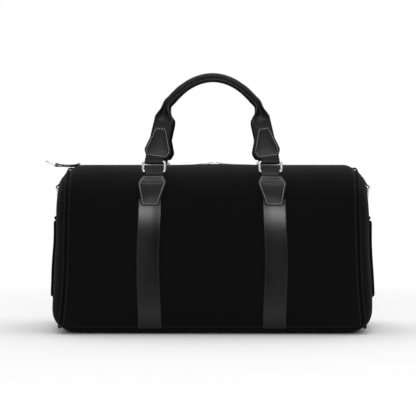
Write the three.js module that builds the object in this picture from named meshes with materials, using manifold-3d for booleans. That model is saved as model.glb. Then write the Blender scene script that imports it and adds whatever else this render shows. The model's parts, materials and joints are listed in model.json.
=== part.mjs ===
// A soft weekender bag: canvas body with a zip along its top ridge, leather straps, patches and two
// rolled handles on metal rings, with D-rings on its ends. Millimetres, +X right, +Y back, +Z up.
// The origin is on the floor under the middle of the base.
import * as THREE from "three";
import { mergeVertices } from "three/addons/utils/BufferGeometryUtils.js";
import Module from "manifold-3d";

const wasm = await Module();
wasm.setup();

// Driving dimensions of the body
const halfDepth = 118; // widest, half way up
const midHeight = 137;
const ridgeRise = 136; // from half way up to the zip
const baseDrop = 134; // from half way up to the underside of the base
const shoulderPower = 3.4; // superellipse power of the upper half of the section
const cornerPower = 12; // and of the lower half, which is nearly square
const halfLengthTop = 235.5; // middle to the end seam, up at the zip
const halfLengthSpread = 11; // how much longer the body is at the floor
const endRoundLength = 18; // stretch over which the panels roll in towards the end seam
const endRoundDepth = 8;
const endBulge = 17; // how far the end panels swell past their seam
const endBulgePower = 10;
const wall = 2.6; // padded canvas
const gap = 0.4; // between pieces that touch
const seamHeight = 10; // where front and back meet the base

// Straps, patches and handles
const strapX = 101;
const strapWidth = 37;
const strapThickness = 1.6;
const loopX = 94.5;
const loopWidth = 30;
const ringY = 86;
const ringBarLow = 262;
const ringBarHigh = 278.5;
const ringWire = 2;
const handleLean = 15; // of both handles, towards each other over the zip
// The handle's own sizes are those of an upright one
const handleTop = 423; // centre line of the rolled grip
const archHalfWidth = 80;
const archFoot = 347.3; // height at which the arch runs into the legs
const archReach = 79.2; // half width of the arch's outer edge where it meets the legs
const archFall = 0.00735; // the outer edge falls by this times the square of the distance from the middle
const gripRadius = 5;
const legThickness = 2.6;
const patchThickness = 1.8;

// Zip
const zipHalfLength = 219;
const toothWidth = 2.6;
const toothRise = 1.2;
const tapeWidth = 9;
const sliderMeet = 3.5; // where the two sliders touch when the bag is shut
const archRadius = 4.7; // of a slider's bridge
const bridgeHeight = 274.2; // centre of the bridge's arc
const pullYaw = 20;
const pullSlope = 4; // how far a lying pull droops

// End hardware
const dRingHeight = 236;
const dRingHalfWidth = 14;
const patchTopEnd = 182; // reinforcement patch on the end
const patchFootEnd = 58;
const endPatchHalfWidth = 76;

// How far a superellipse reaches along the direction (c, s).
const reachOf = (c, s, power) => Math.max(Math.abs(c) ** power + Math.abs(s) ** power, 1e-9) ** (-1 / power);

// A closed outline made of two half superellipses, an upper and a lower one.
class RoundLoop extends THREE.Curve {
  constructor({ half, rise, drop, upper, lower, start = 0, turn = 1 }) {
    super();
    Object.assign(this, { half, rise, drop, upper, lower, start, turn });
    this.arcLengthDivisions = 900;
  }
  getPoint(t, target = new THREE.Vector2()) {
    const angle = this.start + this.turn * 2 * Math.PI * t;
    const c = Math.cos(angle);
    const s = Math.sin(angle);
    const power = s > 0 ? this.upper : this.lower;
    const reach = reachOf(c, s, power);
    return target.set(this.half * c * reach, (s > 0 ? this.rise : this.drop) * s * reach);
  }
}

// Cross-section of the body in (y, z), from the middle of the base up the front and down the back.
const section = new RoundLoop({
  half: halfDepth,
  rise: ridgeRise,
  drop: baseDrop,
  upper: shoulderPower,
  lower: cornerPower,
  start: -Math.PI / 2,
  turn: -1,
});
const girth = section.getLength();

const halfLength = (z) => halfLengthTop + halfLengthSpread * Math.max(0, 1 - z / 260) ** 3;
const endInset = (toEnd) => endRoundDepth * Math.max(0, 1 - toEnd / endRoundLength) ** 2;

// A point on the body: x across, distance round the section from the ridge (front is negative),
// and lift out from the canvas.
function onBody(x, distance, lift) {
  const turn = (((0.5 + distance / girth) % 1) + 1) % 1;
  const p = section.getPointAt(turn);
  const t = section.getTangentAt(turn);
  const out = lift - endInset(halfLength(p.y + midHeight) - Math.abs(x));
  return new THREE.Vector3(x, p.x - t.y * out, p.y + midHeight + t.x * out);
}

// Distance from the ridge down the front to a height on it, by halving.
function reachAt(height) {
  let low = 0.02;
  let high = 0.5;
  for (let i = 0; i < 40; i += 1) {
    const middle = (low + high) / 2;
    if (section.getPointAt(middle).y + midHeight < height) low = middle;
    else high = middle;
  }
  return (0.5 - low) * girth;
}

// A point on an end panel: side is 1 right or -1 left, and u and v run -1 to 1 across and up it.
function onEnd(side, u, v, lift) {
  const rim = endRoundDepth + gap;
  const q = Math.max(Math.abs(u), Math.abs(v), 1e-6);
  const power = v > 0 ? shoulderPower : cornerPower;
  const reach = reachOf(u / q, v / q, power);
  const tall = (v > 0 ? ridgeRise : baseDrop) - rim;
  const z = midHeight + tall * v * reach;
  const x = halfLength(z - rim) + gap + endBulge * (1 - q ** endBulgePower) + lift;
  return new THREE.Vector3(side * x, side * (halfDepth - rim) * u * reach, z);
}

// The same by depth and height, for pieces sewn near the middle of an end.
function onEndAt(side, y, z, lift) {
  const rim = endRoundDepth + gap;
  const v = (z - midHeight) / ((z > midHeight ? ridgeRise : baseDrop) - rim);
  const q = Math.max(Math.abs(y) / (halfDepth - rim), Math.abs(v));
  const x = halfLength(z - rim) + gap + endBulge * (1 - q ** endBulgePower) + lift;
  return new THREE.Vector3(side * x, side * y, z);
}

// A box of nu by nv by nw cells whose corners are carried to place(u, v, w), each running -1 to 1.
function formed(nu, nv, nw, place) {
  const geometry = new THREE.BoxGeometry(2, 2, 2, nu, nv, nw);
  const spots = geometry.getAttribute("position");
  for (let i = 0; i < spots.count; i += 1) {
    const moved = place(spots.getX(i), spots.getY(i), spots.getZ(i));
    spots.setXYZ(i, moved.x, moved.y, moved.z);
  }
  geometry.computeVertexNormals();
  return geometry;
}

// A wire carried round a closed loop that lies in the local XY plane.
function wireLoop(loop, wire, steps, sides) {
  const geometry = new THREE.TorusGeometry(2, 1, sides, steps);
  const spots = geometry.getAttribute("position");
  for (let i = 0; i < spots.count; i += 1) {
    const step = i % (steps + 1);
    const angle = (Math.floor(i / (steps + 1)) / sides) * 2 * Math.PI;
    const p = loop.getPointAt((step % steps) / steps);
    const t = loop.getTangentAt((step % steps) / steps);
    const out = wire * Math.cos(angle);
    spots.setXYZ(i, p.x + t.y * out, p.y - t.x * out, wire * Math.sin(angle));
  }
  geometry.computeVertexNormals();
  return geometry;
}

function toSolid(geometry) {
  const bare = geometry.clone();
  bare.deleteAttribute("normal");
  bare.deleteAttribute("uv");
  const merged = mergeVertices(bare, 1e-4);
  const vertProperties = new Float32Array(merged.attributes.position.array);
  const triVerts = new Uint32Array(merged.index.array);
  return new wasm.Manifold(new wasm.Mesh({ numProp: 3, vertProperties, triVerts }));
}

function toGeometry(solid) {
  const mesh = solid.getMesh();
  const geometry = new THREE.BufferGeometry();
  geometry.setAttribute("position", new THREE.BufferAttribute(mesh.vertProperties, 3));
  geometry.setIndex(new THREE.BufferAttribute(mesh.triVerts, 1));
  geometry.computeVertexNormals();
  return geometry;
}

// A round bar along X, Y or Z, centred on a point.
function bar(radius, length, axis, centre, sides = 14) {
  const geometry = new THREE.CylinderGeometry(radius, radius, length, sides);
  if (axis === "x") geometry.rotateZ(Math.PI / 2);
  if (axis === "z") geometry.rotateX(Math.PI / 2);
  return geometry.translate(centre.x, centre.y, centre.z);
}

const finishes = {
  canvas: [0x1b1b1c, 0.95, 0],
  leather: [0x2a2a2b, 0.5, 0],
  nickel: [0xb9b9b6, 0.32, 1],
  cloth: [0x232325, 0.9, 0],
  board: [0x3a3a3a, 0.8, 0],
};

const bag = new THREE.Group();

function add(name, geometry, finish, parent = bag) {
  const [color, roughness, metalness] = finishes[finish];
  const material = new THREE.MeshStandardMaterial({ color, roughness, metalness });
  const mesh = new THREE.Mesh(geometry, material);
  mesh.name = name;
  parent.add(mesh);
  return mesh;
}

const crowd = (u) => Math.sin((u * Math.PI) / 2); // draws grid lines together towards -1 and 1
const between = (low, high, v) => low + ((high - low) * (v + 1)) / 2;

// Body panels, each a shell of the wall's thickness
function panel(from, to, nu, nv) {
  return formed(nu, nv, 1, (u, v, w) => {
    const distance = between(from, to, v);
    const height = onBody(0, distance, 0).z;
    return onBody(crowd(u) * halfLength(height), distance, between(-wall, 0, w));
  });
}
const seamReach = reachAt(seamHeight);
const zipEdge = toothWidth + 0.8 + tapeWidth; // ridge to the edge of the front or back panel
add("front_panel", panel(-seamReach, -zipEdge, 12, 14), "canvas");
add("back_panel", panel(zipEdge, seamReach, 12, 14), "canvas");
add("base_panel", panel(seamReach + gap, girth - seamReach - gap, 10, 14), "canvas");

const sides = [
  ["left", -1],
  ["right", 1],
];
for (const [side, sign] of sides) {
  const dome = formed(10, 12, 1, (u, v, w) => onEnd(sign, crowd(u), crowd(v), between(0, wall, w)));
  add(`${side}_end_panel`, dome, "canvas");
}

// Piping round each end seam
const pipeInset = 5.2;
const pipeRadius = 1.9;
const pipeSteps = 48;
const pipeOut = 1.6;
for (const [side, sign] of sides) {
  const ring = new THREE.TorusGeometry(2, 1, 6, pipeSteps);
  const spots = ring.getAttribute("position");
  for (let i = 0; i < spots.count; i += 1) {
    const angle = (Math.floor(i / (pipeSteps + 1)) / 6) * 2 * Math.PI;
    const step = (i % (pipeSteps + 1)) % pipeSteps;
    const turn = sign > 0 ? 1 - step / pipeSteps : step / pipeSteps;
    const at = onBody(0, (turn - 0.5) * girth, pipeRadius * Math.cos(angle) - pipeInset);
    const height = onBody(0, (turn - 0.5) * girth, 0).z;
    spots.setXYZ(i, sign * (halfLength(height) + pipeOut + pipeRadius * Math.sin(angle)), at.y, at.z);
  }
  add(`${side}_piping`, ring, "leather");
}

// Stiff board and lining inside
const boardHalfWidth = 86;
const boardLow = 7;
const boardHigh = 9.4;
const board = new THREE.BoxGeometry(2 * (halfLengthTop - 10), 2 * boardHalfWidth, boardHigh - boardLow);
board.translate(0, 0, (boardLow + boardHigh) / 2);
add("base_board", board, "board");

const liningGap = 4.2; // from the outside of the canvas to the lining
const liningWall = 1.2;
const liningFloor = boardHigh + gap;
function pillow(inset) {
  return toSolid(
    formed(10, 8, 8, (u, v, w) => {
      const x = crowd(u);
      const q = Math.max(Math.abs(v), Math.abs(w), 1e-6);
      const power = w > 0 ? shoulderPower : cornerPower;
      const c = crowd(v / q) * q;
      const s = crowd(w / q) * q;
      const r = Math.max(Math.abs(c), Math.abs(s), 1e-6);
      const reach = (q / r) * reachOf(c / r, s / r, power);
      const pull = inset + endInset(halfLengthTop * (1 - Math.abs(x)));
      const tall = w > 0 ? ridgeRise - liningGap : midHeight - liningFloor;
      const z = midHeight + (tall - pull) * s * reach;
      return new THREE.Vector3(x * (halfLength(z) - 1.5 - inset), (halfDepth - liningGap - pull) * c * reach, z);
    }),
  );
}
const mouth = new THREE.BoxGeometry(2 * zipHalfLength, 18, 60).translate(0, 0, midHeight + ridgeRise);
add("lining", toGeometry(pillow(0).subtract(pillow(liningWall)).subtract(toSolid(mouth))), "cloth");

const pocketLift = liningGap + liningWall + 1.6;
const pocket = formed(6, 6, 1, (u, v, w) => {
  const distance = between(reachAt(190), reachAt(80), v);
  return onBody(u * 105, distance, between(-pocketLift - 2, -pocketLift, w));
});
add("inner_pocket", pocket, "cloth");

// Zip: a tape and a row of teeth on each side, with a stop at each end
for (const [side, sign] of [
  ["front", -1],
  ["back", 1],
]) {
  const near = toothWidth + 0.5;
  const tape = formed(10, 1, 1, (u, v, w) => {
    const distance = sign < 0 ? between(-zipEdge + gap, -near, v) : between(near, zipEdge - gap, v);
    return onBody(crowd(u) * (halfLengthTop - 1), distance, between(-1.6, -0.6, w));
  });
  add(`zip_tape_${side}`, tape, "cloth");
  const teeth = new THREE.BoxGeometry(2 * zipHalfLength, toothWidth, 2 * toothRise);
  teeth.translate(0, sign * (toothWidth / 2 + 0.2), midHeight + ridgeRise);
  add(`zip_teeth_${side}`, teeth, "nickel");
}
for (const [side, sign] of sides) {
  const stop = new THREE.BoxGeometry(3, 6, 2.2);
  stop.translate(sign * (zipHalfLength + 2), 0, midHeight + ridgeRise - 0.5);
  add(`zip_stop_${side}`, stop, "nickel");
}

// Sliders: a plate over the teeth with an arched bridge, and a long pull on the bridge
const plateThickness = 1;
const pullThickness = 1.1;
const pullRise = 2.4; // middle of a lying pull above the bridge's centre, where its inner bar turns
const plateLow = midHeight + ridgeRise + toothRise + 0.3;
for (const [side, sign] of sides) {
  const archX = sliderMeet + sign * (archRadius + 1.5);
  const outline = new THREE.Shape();
  outline.moveTo(-6, -2.6);
  outline.lineTo(-1.5, -4.6);
  outline.lineTo(6, -3.6);
  outline.lineTo(6, 3.6);
  outline.lineTo(-1.5, 4.6);
  outline.lineTo(-6, 2.6);
  outline.closePath();
  const plate = new THREE.ExtrudeGeometry(outline, { depth: plateThickness, bevelEnabled: false });
  plate.translate(0, 0, plateLow);
  const arch = new THREE.Shape();
  arch.absarc(0, 0, archRadius, 0, Math.PI, false);
  arch.absarc(0, 0, archRadius - 1.4, Math.PI, 0, true);
  arch.closePath();
  const bridge = new THREE.ExtrudeGeometry(arch, { depth: 1.5, bevelEnabled: false, curveSegments: 10 });
  bridge.rotateX(Math.PI / 2).translate(0, 0.75, bridgeHeight);
  const slider = new THREE.Group();
  slider.position.x = archX;
  bag.add(slider);
  add(`${side}_slider`, toGeometry(toSolid(plate).add(toSolid(bridge))), "nickel", slider);

  // The pull lies outwards and a little forwards, its inner bar under the bridge and its eye round it
  const pull = new THREE.Shape();
  const pullHalf = [
    [-0.5, 2.4],
    [0.3, 3.5],
    [2.7, 3.9],
    [5, 3.2],
    [7.5, 1.4],
    [19, 1.9],
    [31, 3.1],
    [33.5, 1.8],
  ];
  pull.setFromPoints([
    ...pullHalf.map(([x, y]) => new THREE.Vector2(x, -y)),
    ...[...pullHalf].reverse().map(([x, y]) => new THREE.Vector2(x, y)),
  ]);
  const eyePoints = Array.from({ length: 28 }, (_, i) => {
    const c = Math.cos((2 * Math.PI * i) / 28);
    const s = Math.sin((2 * Math.PI * i) / 28);
    const reach = reachOf(c, s, 3);
    return new THREE.Vector2(2.7 + 2.3 * c * reach, 2.8 * s * reach);
  });
  const eye = new THREE.Path(eyePoints);
  const slot = new THREE.Path();
  slot.moveTo(21.5, -0.9);
  slot.lineTo(21.5, 0.9);
  slot.lineTo(29.5, 1.1);
  slot.lineTo(29.5, -1.1);
  slot.closePath();
  pull.holes.push(eye, slot);
  const tab = new THREE.ExtrudeGeometry(pull, { depth: pullThickness, bevelEnabled: false });
  const pullMesh = add(`${side}_pull`, tab, "nickel");
  tab.translate(0, 0, -pullThickness / 2).rotateY(THREE.MathUtils.degToRad(pullSlope));
  pullMesh.position.set(archX, 0, bridgeHeight + pullRise);
  const heading = sign > 0 ? -pullYaw : 180 + pullYaw;
  pullMesh.rotation.z = THREE.MathUtils.degToRad(heading);
}

// Half width of a six-sided patch at a share of its height, its corners eased
function patchHalfWidth(share, foot, widest, head, widestAt) {
  const ease = 0.09;
  const straight =
    share < widestAt
      ? foot + ((widest - foot) * share) / widestAt
      : widest + ((head - widest) * (share - widestAt)) / (1 - widestAt);
  const toEdge = Math.min(share, 1 - share);
  return straight - 3 * Math.max(0, 1 - toEdge / ease) ** 2;
}

// Front half, and the back half as the same pieces turned half way round
const halves = [];
for (const [face, turn] of [
  ["front", 0],
  ["back", Math.PI],
]) {
  const half = new THREE.Group();
  half.rotation.z = turn;
  bag.add(half);
  const grip = new THREE.Group();
  grip.position.set(0, -ringY, ringBarHigh);
  grip.rotation.x = THREE.MathUtils.degToRad(-handleLean);
  half.add(grip);
  for (const sign of [-1, 1]) {
    const side = sign < 0 === (turn === 0) ? "left" : "right";
    halves.push({ face, half, grip, sign, prefix: `${face}_${side}` });
  }
}

// Webbing straps from the base seam to under the patches, patches over their ends, and loops: a
// folded strap that comes out from under the patch and goes round the ring's lower bar
const strapTop = reachAt(223);
const strapFoot = reachAt(seamHeight + 1);
const patchLift = gap + strapThickness + gap;
const lowerPatch = { foot: 12.5, widest: 22.5, head: 15.5, widestAt: 0.76 };
const lowerPatchTop = reachAt(254);
const lowerPatchFoot = reachAt(210);
const loopTop = reachAt(257);
const loopFoot = reachAt(236);
const eyeRadius = 4.2;

function band(x, halfWidth, foot, top, rows) {
  return formed(2, rows, 1, (u, v, w) => {
    return onBody(x + u * halfWidth, -between(foot, top, v), between(gap, gap + strapThickness, w));
  });
}

for (const { half, sign, prefix } of halves) {
  add(`${prefix}_strap`, band(sign * strapX, strapWidth / 2, strapFoot, strapTop, 14), "leather", half);

  const patch = formed(2, 10, 1, (u, v, w) => {
    const share = (crowd(v) + 1) / 2;
    const { foot, widest, head, widestAt } = lowerPatch;
    const x = sign * (strapX - 2 - 4.5 * share) + u * patchHalfWidth(share, foot, widest, head, widestAt);
    const distance = THREE.MathUtils.lerp(lowerPatchFoot, lowerPatchTop, share);
    return onBody(x, -distance, patchLift + between(0, patchThickness, w));
  });
  add(`${prefix}_patch`, patch, "leather", half);

  const eyeCentre = new THREE.Vector3(sign * loopX, -ringY, ringBarLow);
  const neck = new THREE.BoxGeometry(loopWidth, 4.5, 5).translate(sign * loopX, -ringY - 4.2, ringBarLow - 2.1);
  const loop = toSolid(band(sign * loopX, loopWidth / 2, loopFoot, loopTop, 5))
    .add(toSolid(neck))
    .add(toSolid(bar(eyeRadius, loopWidth, "x", eyeCentre)))
    .subtract(toSolid(bar(ringWire + gap, loopWidth + 2, "x", eyeCentre)));
  add(`${prefix}_loop`, toGeometry(loop), "leather", half);
}

// Rings between the loops and the handles
const ringHalfWidth = 17.7;
const ringHalfHeight = (ringBarHigh - ringBarLow) / 2;
for (const { half, sign, prefix } of halves) {
  const outline = new RoundLoop({
    half: ringHalfWidth,
    rise: ringHalfHeight,
    drop: ringHalfHeight,
    upper: 9,
    lower: 9,
  });
  const ring = add(`${prefix}_ring`, wireLoop(outline, ringWire, 24, 6), "nickel", half);
  ring.rotation.x = Math.PI / 2;
  ring.position.set(sign * loopX, -ringY, (ringBarLow + ringBarHigh) / 2);
}

// Handles: a rolled grip over an arch, flattening into a leg on each side that folds round its ring
function handlePath() {
  const points = [];
  const legSteps = 3;
  for (let i = 0; i <= legSteps; i += 1) {
    const share = i / legSteps;
    const x = loopX + (archHalfWidth - loopX) * share;
    points.push(new THREE.Vector3(-x, 0, ringBarHigh + (archFoot - ringBarHigh) * share));
  }
  points.push(new THREE.Vector3(-archHalfWidth, 0, archFoot + 7));
  points.push(new THREE.Vector3(1 - archHalfWidth, 0, archFoot + 16));
  const archSteps = 9;
  for (let i = 0; i <= archSteps; i += 1) {
    const out = archReach * (1 - i / archSteps);
    const slope = 2 * archFall * out;
    const inwards = gripRadius / Math.hypot(slope, 1);
    const z = handleTop + gripRadius - archFall * out ** 2 - inwards;
    points.push(new THREE.Vector3(slope * inwards - out, 0, z));
  }
  const mirrored = points
    .slice(0, -1)
    .reverse()
    .map((p) => new THREE.Vector3(-p.x, 0, p.z));
  return new THREE.CatmullRomCurve3([...points, ...mirrored]);
}
const path = handlePath();
const depthAxis = new THREE.Vector3(0, 1, 0);
const legFullAt = 354; // height at which the leg has its full width
const gripEndsAt = 378;
const legTilt = Math.atan2(loopX - archHalfWidth, archFoot - ringBarHigh);

function handleForm(u, v, w) {
  const turn = between(0, 1, w);
  const p = path.getPointAt(turn);
  const t = path.getTangentAt(turn);
  const flat = THREE.MathUtils.smoothstep(gripEndsAt - p.z, 0, gripEndsAt - legFullAt);
  const halfWide = THREE.MathUtils.lerp(gripRadius, loopWidth / 2, flat);
  const halfThick = THREE.MathUtils.lerp(gripRadius, legThickness, flat);
  const power = THREE.MathUtils.lerp(2, 7, flat);
  const q = Math.max(Math.abs(u), Math.abs(v), 1e-6);
  const reach = reachOf(u / q, v / q, power);
  const across = new THREE.Vector3().crossVectors(depthAxis, t);
  return p.addScaledVector(across, halfWide * u * reach).addScaledVector(depthAxis, halfThick * v * reach);
}

function makeHandle() {
  let handle = toSolid(formed(3, 2, 36, handleForm));
  for (const sign of [-1, 1]) {
    const eyeCentre = new THREE.Vector3(sign * loopX, 0, ringBarHigh);
    handle = handle
      .add(toSolid(bar(eyeRadius + 0.4, loopWidth, "x", eyeCentre)))
      .subtract(toSolid(bar(ringWire + gap, loopWidth + 16, "x", eyeCentre)));
  }
  return toGeometry(handle);
}

const upperPatch = { foot: 15, widest: 21.3, head: 8.3, widestAt: 0.3, length: 48.6, fromBar: 8.5 };
for (const { face, grip, sign, prefix } of halves) {
  if (sign < 0) add(`${face}_handle`, makeHandle(), "leather", grip).position.z = -ringBarHigh;
  const { foot, widest, head, widestAt, length, fromBar } = upperPatch;
  const shield = formed(2, 8, 1, (u, v, w) => {
    const share = (crowd(v) + 1) / 2;
    const across = u * patchHalfWidth(share, foot, widest, head, widestAt);
    return new THREE.Vector3(across, -between(0, patchThickness, w), fromBar + share * length);
  });
  const patch = add(`${prefix}_handle_patch`, shield, "leather", grip);
  patch.position.set(sign * loopX, -legThickness - gap, 0);
  patch.rotation.y = -sign * legTilt;
}

// Ends: reinforcement patch, a webbing strip down the middle, and a D-ring on a folded tab
const endPatchThickness = 4.4;
const webbingThickness = 2;
const webbingHalfWidth = 14;
const webbingTop = 211;
const webbingFoot = 16;
const tabTop = 251;
const tabHalfWidth = 11.3;
const dRingWire = 2;
for (const [side, sign] of sides) {
  const patch = formed(6, 8, 1, (u, v, w) => {
    const lift = wall + gap + between(0, endPatchThickness, w);
    return onEndAt(sign, u * endPatchHalfWidth, between(patchFootEnd, patchTopEnd, v), lift);
  });
  add(`${side}_end_patch`, patch, "canvas");

  const webbing = formed(2, 26, 1, (u, v, w) => {
    const z = between(webbingFoot, webbingTop, v);
    const over = THREE.MathUtils.smoothstep(z, patchFootEnd - 14, patchFootEnd - 4);
    const under = 1 - THREE.MathUtils.smoothstep(z, patchTopEnd + 4, patchTopEnd + 14);
    const lift = wall + gap + (endPatchThickness + gap) * over * under;
    return onEndAt(sign, u * webbingHalfWidth, z, lift + between(0, webbingThickness, w));
  });
  add(`${side}_end_webbing`, webbing, "canvas");

  const pivot = onEndAt(sign, 0, dRingHeight, wall + gap + strapThickness + gap + dRingWire);
  const stem = formed(2, 3, 1, (u, v, w) => {
    const z = between(dRingHeight - 1, tabTop, v);
    return onEndAt(sign, u * tabHalfWidth, z, wall + gap + between(0, 3.2, w));
  });
  const tab = toSolid(stem)
    .add(toSolid(bar(4, 2 * tabHalfWidth, "y", pivot)))
    .subtract(toSolid(bar(dRingWire + gap + 0.2, 26, "y", pivot)));
  add(`${side}_ring_tab`, toGeometry(tab), "leather");

  const outline = new RoundLoop({ half: dRingHalfWidth, rise: 2, drop: 17, upper: 9, lower: 2.4 });
  const ring = add(`${side}_d_ring`, wireLoop(outline, dRingWire, 24, 6), "nickel");
  ring.rotation.set(Math.PI / 2, Math.PI / 2, 0);
  ring.position.set(pivot.x, 0, dRingHeight - 2);
}

// Tab at the left end of the zip, with a ring to hold while the zip is pulled
const zipTabX = -223;
const zipTabEnd = -262;
const zipTabHalfWidth = 10;
const zipTabThickness = 3.6;
const zipRingWire = 1.5;
const zipRingTilt = THREE.MathUtils.degToRad(20);
// Underside of the tab: down over the end of the body, then up to the ring
const sag = (x) => 270.1 + 3.3 * Math.max(0, (x + 240) / 18) ** 2 + 1.9 * Math.max(0, (-240 - x) / 22) ** 2;
const zipEye = new THREE.Vector3(zipTabEnd, 0, sag(zipTabEnd) + zipTabThickness / 2);
const zipStrip = formed(8, 1, 1, (u, v, w) => {
  const x = between(zipTabEnd, zipTabX, u);
  return new THREE.Vector3(x, v * zipTabHalfWidth, sag(x) + between(0, zipTabThickness, w));
});
const zipTab = toSolid(zipStrip)
  .add(toSolid(bar(3.3, 2 * zipTabHalfWidth, "y", zipEye)))
  .subtract(toSolid(bar(zipRingWire + gap, 2 * zipTabHalfWidth + 2, "y", zipEye)));
add("zip_end_tab", toGeometry(zipTab), "leather");
const zipRingOutline = new RoundLoop({ half: 13, rise: 9, drop: 9, upper: 4, lower: 12 });
const zipRing = add("zip_end_ring", wireLoop(zipRingOutline, zipRingWire, 24, 6), "nickel");
zipRing.rotation.set(0, zipRingTilt, Math.PI / 2);
const zipRingReach = new THREE.Vector3(-9 * Math.cos(zipRingTilt), 0, 9 * Math.sin(zipRingTilt));
zipRing.position.copy(zipEye).add(zipRingReach);

// Feet under the base
const footRadius = 9;
const footHeight = 2.6;
const footProfile = [
  [0, 0],
  [6, 0],
  [footRadius, 1.2],
  [footRadius, footHeight],
  [0, footHeight],
].map(([r, z]) => new THREE.Vector2(r, z));
const footPlaces = {
  front_left: [-197, -80],
  front_right: [197, -80],
  back_left: [-197, 80],
  back_right: [197, 80],
  centre: [0, 0],
};
for (const [place, [x, y]] of Object.entries(footPlaces)) {
  const foot = new THREE.LatheGeometry(footProfile, 16).rotateX(Math.PI / 2);
  add(`${place}_foot`, foot, "nickel").position.set(x, y, 0);
}

export default bag;
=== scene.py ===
# Weekender bag: the looks of every piece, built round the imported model's frame. Metres, +Z up.
import json
import bmesh
import bpy
import numpy as np
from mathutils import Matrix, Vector


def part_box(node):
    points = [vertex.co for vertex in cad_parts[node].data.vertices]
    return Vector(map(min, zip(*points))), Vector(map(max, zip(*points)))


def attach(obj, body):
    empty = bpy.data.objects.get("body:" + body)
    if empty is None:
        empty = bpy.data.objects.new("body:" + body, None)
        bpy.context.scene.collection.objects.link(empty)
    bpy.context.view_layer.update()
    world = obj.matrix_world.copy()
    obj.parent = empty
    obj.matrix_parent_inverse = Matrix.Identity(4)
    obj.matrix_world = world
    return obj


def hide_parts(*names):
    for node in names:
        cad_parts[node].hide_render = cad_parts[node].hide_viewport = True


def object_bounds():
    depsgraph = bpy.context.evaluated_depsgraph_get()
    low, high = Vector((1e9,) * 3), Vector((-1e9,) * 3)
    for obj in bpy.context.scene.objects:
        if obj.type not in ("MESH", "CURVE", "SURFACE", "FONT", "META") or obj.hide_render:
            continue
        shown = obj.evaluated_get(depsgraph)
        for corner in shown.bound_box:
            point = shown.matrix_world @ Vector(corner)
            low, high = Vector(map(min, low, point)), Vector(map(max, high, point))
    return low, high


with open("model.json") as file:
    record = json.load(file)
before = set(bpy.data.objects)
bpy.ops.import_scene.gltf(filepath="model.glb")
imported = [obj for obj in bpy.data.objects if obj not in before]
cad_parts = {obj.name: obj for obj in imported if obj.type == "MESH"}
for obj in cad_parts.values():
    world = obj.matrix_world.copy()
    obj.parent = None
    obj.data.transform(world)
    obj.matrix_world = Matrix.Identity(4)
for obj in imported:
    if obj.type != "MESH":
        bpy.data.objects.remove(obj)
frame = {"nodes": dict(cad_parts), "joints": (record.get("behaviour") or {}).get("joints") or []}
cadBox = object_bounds()
mm = 0.001
bagSides = (("left", -1), ("right", 1))
bagFaces = (("front", -1), ("back", 1))
strapPlaces = [(*face, *side) for face in bagFaces for side in bagSides]


# One mesh object out of points and faces, its normals turned outwards, shaded smooth.
def meshObject(name, points, faces, uv=None, material=None):
    mesh = bpy.data.meshes.new(name)
    mesh.from_pydata(np.asarray(points, float).tolist(), [], [f for block in faces for f in block.tolist()])
    if uv is not None:
        corner = np.zeros(len(mesh.loops), np.int32)
        mesh.loops.foreach_get("vertex_index", corner)
        layer = mesh.uv_layers.new(name="weave")
        layer.data.foreach_set("uv", np.asarray(uv, np.float32)[corner].ravel())
    work = bmesh.new()
    work.from_mesh(mesh)
    bmesh.ops.recalc_face_normals(work, faces=work.faces)
    work.to_mesh(mesh)
    work.free()
    mesh.polygons.foreach_set("use_smooth", np.ones(len(mesh.polygons), bool))
    mesh.update()
    piece = bpy.data.objects.new(name, mesh)
    bpy.context.scene.collection.objects.link(piece)
    if material:
        mesh.materials.append(material)
    return piece


# Quads of a grid of rows by columns, each way closed on itself or open.
def gridQuads(rows, columns, closeRows=False, closeColumns=False):
    r = np.arange(rows if closeRows else rows - 1)
    c = np.arange(columns if closeColumns else columns - 1)
    r, c = np.meshgrid(r, c, indexing="ij")
    right = (c + 1) % columns
    down = (r + 1) % rows
    return np.stack([r * columns + c, r * columns + right, down * columns + right, down * columns + c],
                    -1).reshape(-1, 4)


# A sheet with a wall: the outer grid, the inner grid facing the other way, and quads round the rim.
def shellPiece(name, outer, inner, uv=None, material=None):
    rows, columns = outer.shape[:2]
    count = rows * columns
    front = gridQuads(rows, columns)
    index = np.arange(count).reshape(rows, columns)
    rim = np.concatenate([index[:, 0], index[-1, 1:], index[-2::-1, -1], index[0, -2:0:-1]])
    after = np.roll(rim, -1)
    side = np.stack([rim, after, after + count, rim + count], -1)
    points = np.concatenate([outer.reshape(-1, 3), inner.reshape(-1, 3)])
    coordinates = None if uv is None else np.concatenate([uv.reshape(-1, 2)] * 2)
    return meshObject(name, points, [front, front[:, ::-1] + count, side], coordinates, material)


# Rings of points joined into a tube, its ends closed by a point, or its last ring joined to the first.
def loftPiece(name, rings, loop=False, uv=None, material=None):
    count, around = rings.shape[:2]
    points = rings.reshape(-1, 3)
    faces = [gridQuads(count, around, loop, True)]
    if not loop:
        ring = np.arange(around)
        after = (ring + 1) % around
        last = (count - 1) * around
        points = np.concatenate([points, rings[:1].mean(1), rings[-1:].mean(1)])
        faces.append(np.stack([after, ring, np.full(around, count * around)], -1))
        faces.append(np.stack([last + ring, last + after, np.full(around, count * around + 1)], -1))
        if uv is not None:
            uv = np.concatenate([uv.reshape(-1, 2), uv[0].mean(0)[None], uv[-1].mean(0)[None]])
    return meshObject(name, points, faces, None if uv is None else uv.reshape(-1, 2), material)


# Rings of a wire or cord along a line, its round or oval section drawn on two axes.
def tubeRings(line, first, second, firstRadius, secondRadius, around):
    angle = turns(around)[None, :, None]
    return line[:, None] + firstRadius * np.cos(angle) * first[:,
                                                               None] + secondRadius * np.sin(angle) * second


# Several objects made one, so that a row of small things is one piece.
def joined(name, pieces):
    with bpy.context.temp_override(active_object=pieces[0], selected_editable_objects=pieces):
        bpy.ops.object.join()
    pieces[0].name = name
    pieces[0].data.name = name
    return pieces[0]


def place(piece, body, slot, *nodes):
    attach(piece, body)
    if nodes:
        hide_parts(*nodes)
    return piece


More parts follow.
